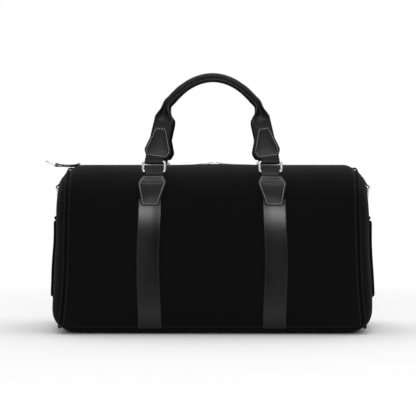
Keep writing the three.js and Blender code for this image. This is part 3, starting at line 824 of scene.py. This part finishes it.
def makeRings():
    r = ringPlace
    tall = (r["barHigh"] - r["barLow"]) / 2
    outline = roundOutline(r["halfWidth"], tall, tall, 7, 7, 132)
    for face, way, side, sign in strapPlaces:
        centre = np.array([sign * loop["x"], -way * r["y"], r["barLow"] + tall])
        piece = wireRing(f"{face}{side.title()}Ring", outline, centre, (1, 0, 0), (0, 0, 1), r["wire"],
                         nickel, flatten=0.85)
        place(piece, f"{face}_rings", "nickel", f"{face}_{side}_ring")


makeLoops()
makeRings()
print("loops and rings done")


handleShape = {"lean": np.radians(15), "top": 423 * mm, "archHalf": 80 * mm, "archFoot": 347.3 * mm,
               "archReach": 79.2 * mm, "archFall": 7.35, "steps": 340, "flatUntil": 64 * mm,
               "rolledFrom": 104 * mm, "legHalf": 15.2 * mm, "legThick": 4.8 * mm,
               "gripWidth": 17.4 * mm, "gripThick": 4.5 * mm}


# Everything on a handle is laid out upright, then leans about the rings' upper bars over the zip.
def leaned(points, way):
    angle = -way * handleShape["lean"]
    pivot = np.array([0, -way * ringPlace["y"], ringPlace["barHigh"]])
    c, s = np.cos(angle), np.sin(angle)
    off = points - pivot
    return pivot + np.stack([off[..., 0], off[..., 1] * c + off[..., 2] * s,
                             off[..., 2] * c - off[..., 1] * s], -1)


# Centre line of a handle, from the left ring's bar over the arch to the right one's, in its own plane.
def handleLine():
    k, r = handleShape, ringPlace
    legs = np.linspace(0, 1, 5)[:, None]
    foot, knee = np.array([loop["x"], r["barHigh"]]), np.array([k["archHalf"], k["archFoot"]])
    leg = foot + (knee - foot) * legs
    bend = knee + np.array([[0, 7], [-1, 16]]) * mm
    out = np.linspace(k["archReach"], 0, 12)
    slope = 2 * k["archFall"] * out
    inwards = 5 * mm / np.hypot(slope, 1)
    arch = np.stack([out - slope * inwards, k["top"] + 5 * mm - k["archFall"] * out**2 - inwards], -1)
    half = np.concatenate([leg, bend, arch])
    whole = np.concatenate([half * [-1, 1], half[-2::-1]])
    return smoothPath(whole, k["steps"])


# Section of a strip rolled up about its long axis: a flat rounded strip bent by curl, from 0 flat to
# a whole turn, its opening towards minus the second axis.
def rolledSection(width, thick, curl, count=56):
    angle = np.linspace(0, 2 * np.pi, count, endpoint=False)
    c, s = np.cos(angle), np.sin(angle)
    a = width[:, None] / 2 * rounded(c, 0.55)
    b = thick[:, None] / 2 * rounded(s, 0.4)
    bend = np.maximum(curl, 0.02)[:, None] / width[:, None]
    radius = 1 / bend
    x = (radius + b) * np.sin(a * bend)
    y = (radius + b) * np.cos(a * bend) - radius
    return x, y - y.mean(1, keepdims=True)


def makeHandles():
    k = handleShape
    line = handleLine()
    tangent = unit(np.gradient(line, axis=0))
    step = lengths(line)
    toEnd = np.minimum(step, step[-1] - step)
    rolled = smooth(k["flatUntil"], k["rolledFrom"], toEnd)
    narrowed = smooth(k["flatUntil"] + 10 * mm, k["rolledFrom"], toEnd)
    width = 2 * k["legHalf"] + (k["gripWidth"] - 2 * k["legHalf"]) * narrowed
    thick = k["legThick"] + (k["gripThick"] - k["legThick"]) * rolled
    tip = smooth(-1 * mm, 7 * mm, toEnd)  # the legs thin out where they fold round the ring
    x, y = rolledSection(width, thick * (0.55 + 0.45 * tip), 2 * np.pi * 0.995 * rolled**0.9)
    twist = np.radians(95) * smooth(k["rolledFrom"] - 4 * mm, k["rolledFrom"] + 55 * mm, toEnd)
    acrossLocal = x * np.cos(twist)[:, None] + y * np.sin(twist)[:, None] * -1
    depthLocal = x * np.sin(twist)[:, None] + y * np.cos(twist)[:, None]
    tangent3 = np.stack([tangent[:, 0], 0 * step, tangent[:, 1]], -1)
    line3 = np.stack([line[:, 0], 0 * step, line[:, 1]], -1)
    across = np.cross(np.array([0, 1.0, 0]), tangent3)
    local = line3[:, None] + across[:, None] * acrossLocal[..., None]
    local[..., 1] += depthLocal
    for face, way in bagFaces:
        flip = np.array([-way, -way, 1.0])
        shift = np.array([0, -way * ringPlace["y"], 0])
        rings = leaned(local * flip + shift, way)
        place(loftPiece(f"{face}Handle", rings, material=shadedLeather), f"{face}_grip", "leather",
              f"{face}_handle")


upperPatch = {"fromBar": 6.2 * mm, "length": 51.6 * mm, "footHalf": 16.6 * mm, "wideHalf": 22 * mm,
              "headHalf": 9.6 * mm, "wideAt": 0.22, "corner": 3.6 * mm, "footX": 91 * mm,
              "lean": np.radians(7.5)}


def makeHandlePatches():
    k, r = upperPatch, ringPlace
    outline = shieldOutline(k, k["length"])
    for face, way, side, sign in strapPlaces:
        upAxis = np.array([-sign * np.sin(k["lean"]), 0, np.cos(k["lean"])])
        for layer, out in (("", way), ("Backing", -way)):
            acrossAxis = np.cross(upAxis, np.array([0, out, 0])) * -1
            origin = np.array([sign * k["footX"], -way * r["y"], r["barHigh"]]) + upAxis * k["fromBar"]

            def surface(a, b, lift):
                flat = origin + np.asarray(a)[..., None] * acrossAxis + np.asarray(b)[..., None] * upAxis
                flat[..., 1] += out * lift
                return leaned(flat, way)
            name = f"{face}{side.title()}HandlePatch{layer}"
            # The backing's stitches take the dark thread: painted shade, as they sit in shadow behind the
            # handle.
            piece, stitches = shield(name, outline, surface, 0.1 * mm, 3.9 * mm, 0.9 * mm, 3.1, [],
                                     thread=darkThread if layer else paleThread)
            node = [f"{face}_{side}_handle_patch"] if not layer else []
            place(piece, f"{face}_grip", "leather", *node)
            place(stitches, f"{face}_grip", "leather")


# Each leg's end folds round the ring's upper bar: down its front, under the bar, and up its back.
def makeHandleEyes():
    r, h = ringPlace, handleShape
    up = unit(np.array([h["archHalf"] - loop["x"], h["archFoot"] - r["barHigh"]]))
    for face, way, side, sign in strapPlaces:
        lean = np.array([sign * up[0], 0, up[1]])
        bar = np.array([sign * loop["x"], -way * r["y"], r["barHigh"]])
        angle = np.radians(np.linspace(180, 360, 9))
        turn = bar + np.stack([0 * angle, 3.5 * mm * np.cos(angle), 3.5 * mm * np.sin(angle)], -1)
        ply = np.array([(15, 1.5), (9, 1.9), (4.5, 3.1)]) * mm
        down = bar + ply[:, :1] * lean - ply[:, 1:] * [0, 1, 0]
        rise = (bar + ply[:, :1] * lean + ply[:, 1:] * [0, 1, 0])[::-1]
        path = smoothPath(np.concatenate([down, turn, rise]), 60)
        blendUp = smooth(4 * mm, 12 * mm, path[:, 2] - bar[2])[:, None]
        path = leaned(path, way)
        widthAxis = unit((1 - blendUp) * np.array([1.0, 0, 0])
                         + blendUp * np.array([up[1], 0, -sign * up[0]]))
        piece = foldedStrap(f"{face}{side.title()}HandleEye", path, widthAxis, 15 * mm, 2.1 * mm,
                            shadedLeather)
        place(piece, f"{face}_grip", "leather")


makeHandles()
makeHandlePatches()
makeHandleEyes()
print("handles done")


zipRow = {"pitch": 2.5 * mm, "reach": 219 * mm, "toothLong": 3.5 * mm, "toothThick": 1.25 * mm,
          "toothTall": 2.3 * mm}


# Small rounded blocks all along the zip: one block's rings repeated at each place.
def makeTeeth():
    k = zipRow
    count = int(2 * k["reach"] / k["pitch"])
    across = np.array([-1, -0.86, 0.55, 0.9, 1.0])
    size = np.array([0.7, 1, 1, 0.8, 0.35])
    outline = roundOutline(k["toothThick"] / 2, k["toothTall"] / 2, k["toothTall"] / 2, 4, 4, 10)
    for face, way in bagFaces:
        x = -k["reach"] + (np.arange(count) + (0.25 if way < 0 else 0.75)) * k["pitch"]
        block = np.zeros((5, 10, 3))
        block[..., 0] = size[:, None] * outline[None, :, 0]
        block[..., 2] = size[:, None] * outline[None, :, 1] + bagShape["ridge"]
        block[..., 1] = way * (1.25 * mm - across * k["toothLong"] / 2)[:, None]
        points = np.repeat(block[None], count, axis=0)
        points[..., 0] += x[:, None, None]
        quads = gridQuads(5, 10, False, True)
        ends = np.array([np.arange(10)[::-1], 40 + np.arange(10)])
        shift = (np.arange(count) * 50)[:, None, None]
        faces = [(quads[None] + shift).reshape(-1, 4), (ends[None] + shift).reshape(-1, 10)]
        piece = meshObject(f"{face}Teeth", points.reshape(-1, 3), faces, material=zipMetal)
        place(piece, "bag", "nickel", f"zip_teeth_{face}")


# Each tape is a thin strip with a corded edge beside the teeth.
def makeTapes():
    x = np.linspace(-1, 1, 240)[None] * (bagShape["halfLength"] - 1 * mm)
    for face, way in bagFaces:
        s = way * np.linspace(2.3 * mm, 13.4 * mm, 26)[:, None]
        cord = 1.1 * mm * np.exp(-(((np.abs(s) - 3.2 * mm) / (0.9 * mm)) ** 2))
        top = onBody(x, s, cord - 0.5 * mm, soft=0.6)
        under = onBody(x, s, -1.7 * mm, soft=0.6)
        piece = shellPiece(f"{face}Tape", top, under, np.stack([x + 0 * s, s + 0 * x], -1), tapeCloth)
        place(piece, "bag", "zip_tape", f"zip_tape_{face}")
        line, normal = bodyLine(x[0], way * 8 * mm, -0.5 * mm)
        place(stitchRow(f"{face}TapeStitches", line, normal, darkThread, pitch=3.2 * mm), "bag", "zip_tape")


def makeStops():
    for side, sign in bagSides:
        outline = roundOutline(3 * mm, 1.3 * mm, 1.3 * mm, 4, 4, 20)
        x = sign * (zipRow["reach"] + 2 * mm) + np.array([-1.5, -1.3, 1.3, 1.5]) * mm
        size = np.array([0.75, 1, 1, 0.75])
        rings = np.zeros((4, 20, 3))
        rings[..., 0] = x[:, None]
        rings[..., 1] = size[:, None] * outline[None, :, 0]
        rings[..., 2] = size[:, None] * outline[None, :, 1] + bagShape["ridge"] - 0.5 * mm
        place(loftPiece(f"{side}Stop", rings, material=zipMetal), "bag", "nickel", f"zip_stop_{side}")


# A flat plate with rounded edges out of a closed outline, at a height.
def plate(name, outline, bottom, thickness, material, origin):
    inner = inwards(outline)
    edge = 0.35 * thickness
    steps = [(edge, 0), (0, 0.3), (0, 0.7), (edge, 1)]
    rings = np.stack([np.concatenate([outline + inner * d,
                                      np.full((len(outline), 1), bottom + thickness * h)], 1)
                      for d, h in steps])
    return loftPiece(name, rings + origin, material=material)


sliderShape = {"outline": [(-6, -2.6), (-1.5, -4.6), (6, -3.7), (6, 3.7), (-1.5, 4.6), (-6, 2.6)],
               "corner": 1.2 * mm, "deck": 1.5 * mm, "reach": 3.9 * mm, "rise": 4.2 * mm,
               "wireThick": 0.85 * mm, "wireWide": 1.15 * mm}


# Slider: a plate over the teeth and an arched wire bridge. Pull: an eye, a neck and a paddle.
def makeSliders():
    k = sliderShape
    for side, sign in bagSides:
        low, high = boxOf(f"{side}_slider")
        centre = (low + high) / 2
        body = roundedPolygon(np.array(k["outline"]) * mm, k["corner"], 60) * [-sign, 1]
        body = body[::-1] if sign > 0 else body
        deck = plate("deck", body, low[2] + 0.25 * mm, k["deck"], nickel, (centre[0], 0, 0))
        angle = np.linspace(-0.12, np.pi + 0.12, 40)
        line = np.stack([centre[0] + k["reach"] * np.cos(angle), 0 * angle,
                         low[2] + 0.3 * mm + k["rise"] * np.sin(angle)], -1)
        out = np.cross(unit(np.gradient(line, axis=0)), [0, 1.0, 0])
        rings = tubeRings(line, out, np.array([0, 1.0, 0]), k["wireThick"], k["wireWide"], 12)
        bridge = loftPiece("bridge", rings, material=nickel)
        place(joined(f"{side}Slider", [deck, bridge]), f"{side}_slider", "nickel", f"{side}_slider")
        makePull(side, sign)


pull = {"yaw": np.radians(20), "slope": np.radians(4), "height": 276.6 * mm, "wire": 0.62 * mm,
        "long": 33.5 * mm}


def makePull(side, sign):
    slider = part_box(f"{side}_slider")
    origin = np.array([(slider[0][0] + slider[1][0]) / 2, 0, pull["height"]])
    heading = -pull["yaw"] if sign > 0 else np.pi + pull["yaw"]
    down = pull["slope"]
    ahead = np.array([np.cos(heading) * np.cos(down), np.sin(heading) * np.cos(down), -np.sin(down)])
    across = np.array([-np.sin(heading), np.cos(heading), 0])
    outline = roundOutline(2.9 * mm, 2.5 * mm, 2.5 * mm, 2.3, 2.3, 56)
    eye = wireRing("eye", outline, origin + ahead * 2.7 * mm, ahead, across, pull["wire"], nickel, 10)
    t = np.linspace(0, 1, 40)
    centre = origin + ahead * (5.3 * mm + (pull["long"] - 5.3 * mm) * t)[:, None]
    half = 1.5 * mm - 0.35 * mm * np.exp(-(((t - 0.18) / 0.12) ** 2)) + 1.5 * mm * smooth(0.25, 0.82, t)
    half = half * np.sqrt(np.clip(1 - (np.clip((t - 0.93) / 0.07, 0, 1)) ** 2 * 0.72, 0, 1))
    angle = np.linspace(0, 2 * np.pi, 24, endpoint=False)
    c, s = np.cos(angle), np.sin(angle)
    wide = rounded(c, 0.5)
    tall = rounded(s, 0.6)
    dish = 0.45 * smooth(0.5, 0.62, t) * smooth(0.97, 0.85, t)  # a pressed hollow in the paddle
    face = (1 - dish[:, None] * (np.abs(wide) < 0.55)) * tall
    rings = centre[:, None] + across * (half[:, None] * wide)[..., None]
    rings[..., 2] += pull["wire"] * face
    paddle = loftPiece("paddle", rings, material=nickel)
    place(joined(f"{side}Pull", [eye, paddle]), f"{side}_pull", "nickel", f"{side}_pull")


makeTeeth()
makeTapes()
makeStops()
makeSliders()
print("zip done")


endPatch = {"top": 182 * mm, "foot": 58 * mm, "half": 76 * mm, "thick": 4.2 * mm}
endTrim = {"half": 14 * mm, "top": 212 * mm, "foot": 15 * mm, "thick": 2.0 * mm, "pucker": 1.1 * mm,
           "pitch": 11.5 * mm}


def makeEndPatches():
    k = endPatch
    wide, tall = k["half"], (k["top"] - k["foot"]) / 2
    outline = roundedPolygon([(-wide, -tall), (wide, -tall), (wide, tall), (-wide, tall)], 9 * mm, 240)
    for side, sign in bagSides:
        def surface(a, b, h):
            return onEnd(sign, sign * a, (k["top"] + k["foot"]) / 2 + b, bagShape["wall"] + h)
        inner = inwards(outline)
        steps = [(0.6, 0), (0, 0.25), (0, 0.6), (0.6, 0.92), (1.6, 1), (4, 0.9), (5, 0.78), (6, 0.92),
                 (9, 1.02)]
        rings = [outline + inner * d * mm for d, h in steps]
        heights = [np.full(len(outline), 0.2 * mm + k["thick"] * h) for d, h in steps]
        for t in np.linspace(0.94, 0.04, 22):
            ring = rings[len(steps) - 1] * t
            rings.append(ring)
            heights.append(0.2 * mm + k["thick"] * (1.02 + 0.25 * (1 - t**2)) + 0 * ring[:, 0])
        flat = np.stack(rings)
        piece = loftPiece(f"{side}EndPatch", surface(flat[..., 0], flat[..., 1], np.stack(heights)), uv=flat,
                          material=canvas)
        place(piece, "bag", "canvas", f"{side}_end_patch")
        path = np.concatenate([outline + inner * 5 * mm, (outline + inner * 5 * mm)[:1]])
        line = surface(path[:, 0], path[:, 1], 0.2 * mm + k["thick"] * 0.8)
        normal = surface(path[:, 0], path[:, 1], 1.2 * mm + k["thick"] * 0.8) - line
        place(stitchRow(f"{side}EndPatchStitches", line, normal, darkThread, pitch=3.6 * mm), "bag",
              "canvas")


# A webbing strip down the middle of each end, slack in places, so that it stands off in small waves.
def makeEndWebbing():
    k = endTrim
    across, up = strapSection(k["half"], k["thick"], 20)
    for side, sign in bagSides:
        z = np.linspace(k["foot"], k["top"], 210)[:, None]
        over = smooth(endPatch["foot"] - 12 * mm, endPatch["foot"] - 2 * mm, z) * \
            smooth(endPatch["top"] + 12 * mm, endPatch["top"] + 2 * mm, z)
        slack = smooth(endPatch["top"] - 34 * mm, endPatch["top"] + 8 * mm, z)
        wave = k["pucker"] * (0.25 + slack) * np.sin(2 * np.pi * z / k["pitch"]
                                                     + 0.8 * np.sin(z / (14 * mm)))
        lift = bagShape["wall"] + 0.6 * mm + (endPatch["thick"] + 1.0 * mm) * over + wave + k["thick"] / 2
        y = across[None] + 0.6 * mm * np.sin(z / (17 * mm))
        rings = onEnd(sign, y, z + 0 * y, lift + up[None] + 0 * y)
        piece = loftPiece(f"{side}EndWebbing", rings, uv=np.stack([y + 0 * z, z + 0 * y], -1),
                          material=sideWebbing)
        place(piece, "bag", "webbing", f"{side}_end_webbing")


dRing = {"half": 14 * mm, "wire": 2.1 * mm, "pivot": 236 * mm, "drop": 17 * mm}


def makeDRings():
    k = dRing
    for side, sign in bagSides:
        low, high = boxOf(f"{side}_d_ring")
        pivotX = (low[0] + high[0]) / 2
        outline = roundOutline(k["half"], 2 * mm, k["drop"], 9, 2.4, 120)
        centre = np.array([pivotX, 0, k["pivot"] - 2 * mm])
        piece = wireRing(f"{side}DRing", outline, centre, (0, sign, 0), (0, 0, 1), k["wire"], nickel)
        place(piece, f"{side}_d_ring", "nickel", f"{side}_d_ring")
        # the tab: down the end, round the D-ring's bar from outside, and back up against the canvas
        z = np.array([253, 247, 241]) * mm
        outer = onEnd(sign, 0 * z, z, bagShape["wall"] + np.array([2.2, 3.2, 4.6]) * mm)
        inner = onEnd(sign, 0 * z, z[::-1], bagShape["wall"] + np.array([1.1, 1.1, 1.0]) * mm)
        angle = np.radians([60, 20, -20, -60, -100, -140, -175])
        turn = np.stack([pivotX + sign * 3.3 * mm * np.cos(angle), 0 * angle,
                         k["pivot"] + 3.3 * mm * np.sin(angle)], -1)
        path = smoothPath(np.concatenate([outer, turn, inner]), 64)
        tab = foldedStrap(f"{side}RingTab", path, np.array([0, 1.0, 0]), 11.3 * mm, 1.8 * mm)
        place(tab, "bag", "leather", f"{side}_ring_tab")
        across = np.linspace(-9 * mm, 9 * mm, 30)
        lines = []
        for height in (250.5 * mm, 243.5 * mm):
            lift = np.interp(height, [241 * mm, 247 * mm, 253 * mm],
                             [4.6 * mm, 3.2 * mm, 2.2 * mm]) + bagShape["wall"] + 1 * mm
            lines.append((onEnd(sign, across, height + 0 * across, lift), np.tile([sign, 0, 0.2], (30, 1))))
        stitchRows(f"{side}RingTabStitches", lines, "leather", paleThread, pitch=3.1 * mm)


zipTab = {"start": -223 * mm, "end": -262 * mm, "half": 10 * mm, "wire": 1.6 * mm}


# The leather tab at the left end of the zip: two plies that part round a small ring.
def makeZipTab():
    k = zipTab
    eye = np.array(next(j["pos_m"] for j in frame["joints"] if j["name"] == "zip_end_ring_swing"))
    x = np.linspace(k["start"], k["end"] + 4 * mm, 9)
    ground = zipTabGround(x)
    top = np.stack([x, ground + 3.1 * mm + 0.7 * mm * smooth(-230 * mm, -223 * mm, x)], -1)
    under = np.stack([x, ground + 0.9 * mm], -1)[::-1]
    angle = np.radians([110, 145, 180, 215, 250])
    turn = np.stack([eye[0] + 2.6 * mm * np.cos(angle), eye[2] + 2.6 * mm * np.sin(angle)], -1)
    path = smoothPath(np.concatenate([top, turn, under[1:]]), 110)
    path = np.stack([path[:, 0], 0 * path[:, 0], path[:, 1]], -1)
    place(foldedStrap("zipEndTab", path, np.array([0, 1.0, 0]), k["half"], 2 * mm), "bag", "leather",
          "zip_end_tab")
    lines = []
    for sign in (-1, 1):
        x = np.linspace(k["start"] - 2 * mm, -254 * mm, 30)
        z = zipTabGround(x) + 3.1 * mm + 0.7 * mm * smooth(-230 * mm, -223 * mm, x) + 0.85 * mm
        line = np.stack([x, 0 * x + sign * (k["half"] - 2.2 * mm), z], -1)
        lines.append((line, np.tile([0, 0, 1.0], (30, 1))))
    stitchRows("zipEndTabStitches", lines, "leather", paleThread, pitch=3.1 * mm)
    tilt = np.radians(20)
    ahead = np.array([-np.cos(tilt), 0, np.sin(tilt)])
    outline = roundOutline(13 * mm, 9 * mm, 9 * mm, 4, 12, 110)
    ring = wireRing("zipEndRing", outline, eye + ahead * 9 * mm, (0, 1, 0), ahead, k["wire"], nickel)
    place(ring, "zip_end_ring", "nickel", "zip_end_ring")


# Underside of the tab: down over the rounded end of the body, then up to the ring.
def zipTabGround(x):
    inner = np.maximum(0, (x + 240 * mm) / (18 * mm))
    outer = np.maximum(0, (-240 * mm - x) / (22 * mm))
    return 269.9 * mm + 2.2 * mm * inner**2 + 1.9 * mm * outer**2


makeEndPatches()
makeEndWebbing()
makeDRings()
makeZipTab()
print("ends done")


footShape = {"radius": np.array([3, 5.6, 7.6, 8.7, 9, 9, 8.8]) * mm, "around": 40,
             "height": np.array([0.0, 0.02, 0.35, 0.9, 1.6, 2.6, 3.4]) * mm}


# A domed stud: a profile of radius and height turned about its axis.
def makeFeet():
    k = footShape
    radius, angle = k["radius"][:, None], turns(k["around"])
    for name in ("front_left", "front_right", "back_left", "back_right", "centre"):
        low, high = boxOf(f"{name}_foot")
        x, y = (low[:2] + high[:2]) / 2
        rings = np.stack([x + radius * np.cos(angle), y + radius * np.sin(angle),
                          np.repeat(k["height"][:, None], k["around"], axis=1)], -1)
        parts = name.split("_")
        title = parts[0] + "".join(p.title() for p in parts[1:])
        place(loftPiece(f"{title}Foot", rings, material=footMetal), "bag", "foot_metal", f"{name}_foot")


makeFeet()
for node, material in (("lining", liningCloth), ("inner_pocket", liningCloth), ("base_board", boardPlastic)):
    piece = frame["nodes"][node]
    piece.data.materials.clear()
    piece.data.materials.append(material)
print("feet and inside done")


studio = {"distance": 2.4, "eyeHeight": 0.255, "eyeX": 0.0208, "lens": 129.8, "aimX": -0.0064,
          "aimZ": 0.2038,
          "floorSize": 5.0, "fadeFrom": 0.36, "fadeTo": 1.15,
          "skyUp": (0.35, 0.9, 0.03, 0.55), "skyBack": (0.1, 0.8, 0.0, 0.6),
          "skySides": (0.5, 0.95, 0.0, 0.5),
          "topLight": ((0.1, 0.1, 2.0), (0, -0.05, 0.15), (2.4, 1.4), 24),
          "frontLight": ((0.0, -2.9, 0.9), (0, 0, 0.25), (1.2, 0.74), 29)}


# World light by direction: dim at the horizon, bright overhead and behind; plain white where it is seen.
def makeWorld():
    world = bpy.data.worlds.new("studio")
    bpy.context.scene.world = world
    world.use_nodes = True
    tree = world.node_tree
    parts = addNode(tree, "SeparateXYZ")
    tree.links.new(coordinates(tree, "Generated"), parts.inputs[0])
    up = addNode(tree, "MapRange", interpolation_type="SMOOTHSTEP")
    back = addNode(tree, "MapRange", interpolation_type="SMOOTHSTEP")
    sides = addNode(tree, "MapRange", interpolation_type="SMOOTHSTEP")
    sideways = math(tree, "ABSOLUTE", parts.outputs["X"])
    for node, value, ends in ((up, parts.outputs["Z"], studio["skyUp"]),
                              (back, parts.outputs["Y"], studio["skyBack"]),
                              (sides, sideways, studio["skySides"])):
        tree.links.new(value, node.inputs["Value"])
        for name, value in zip(("From Min", "From Max", "To Min", "To Max"), ends):
            node.inputs[name].default_value = value
    glow = math(tree, "ADD", up.outputs["Result"], back.outputs["Result"])
    glow = math(tree, "ADD", glow, sides.outputs["Result"])
    seen = addNode(tree, "LightPath").outputs["Is Camera Ray"]
    strength = math(tree, "MAXIMUM", glow, seen)
    tree.links.new(strength, tree.nodes["Background"].inputs["Strength"])
    tree.nodes["Background"].inputs["Color"].default_value = (1, 1, 1, 1)


# Pale paper that fades out into the white all round.
def makeFloor():
    k = studio
    size = k["floorSize"]
    mesh = bpy.data.meshes.new("floor")
    mesh.from_pydata([(-size, -size, 0), (size, -size, 0), (size, size, 0), (-size, size, 0)], [],
                     [(0, 1, 2, 3)])
    floor = bpy.data.objects.new("floor", mesh)
    bpy.context.scene.collection.objects.link(floor)
    material, tree, shader = nodeMaterial("floorPaper", (0.9, 0.9, 0.9), 0.9, specular=0.1)
    length = addNode(tree, "VectorMath", operation="LENGTH")
    tree.links.new(coordinates(tree), length.inputs[0])
    fade = addNode(tree, "MapRange", interpolation_type="SMOOTHSTEP")
    tree.links.new(length.outputs["Value"], fade.inputs["Value"])
    fade.inputs["From Min"].default_value = k["fadeFrom"]
    fade.inputs["From Max"].default_value = k["fadeTo"]
    mix = addNode(tree, "MixShader")
    tree.links.new(fade.outputs["Result"], mix.inputs["Fac"])
    tree.links.new(shader.outputs[0], mix.inputs[1])
    tree.links.new(addNode(tree, "BsdfTransparent").outputs[0], mix.inputs[2])
    tree.links.new(mix.outputs[0], tree.nodes["Material Output"].inputs["Surface"])
    mesh.materials.append(material)


def softbox(name, place, aim, size, power):
    light = bpy.data.lights.new(name, "AREA")
    light.shape = "RECTANGLE"
    light.size, light.size_y = size
    light.energy = power
    lamp = bpy.data.objects.new(name, light)
    lamp.location = place
    lamp.rotation_euler = (Vector(aim) - Vector(place)).to_track_quat("-Z", "Y").to_euler()
    bpy.context.scene.collection.objects.link(lamp)


def makeStudio():
    k = studio
    makeFloor()
    makeWorld()
    softbox("topLight", *k["topLight"])
    softbox("frontLight", *k["frontLight"])
    camera = bpy.data.cameras.new("camera")
    camera.lens = k["lens"]
    camera.clip_end = 60
    view = bpy.data.objects.new("camera", camera)
    front = cadBox[0][1]
    view.location = (k["eyeX"], front - k["distance"], k["eyeHeight"])
    aim = Vector((k["aimX"], front, k["aimZ"]))
    view.rotation_euler = (aim - view.location).to_track_quat("-Z", "Y").to_euler()
    bpy.context.scene.collection.objects.link(view)
    bpy.context.scene.camera = view
    bpy.context.scene.view_settings.view_transform = "Standard"


makeStudio()
print("studio done")
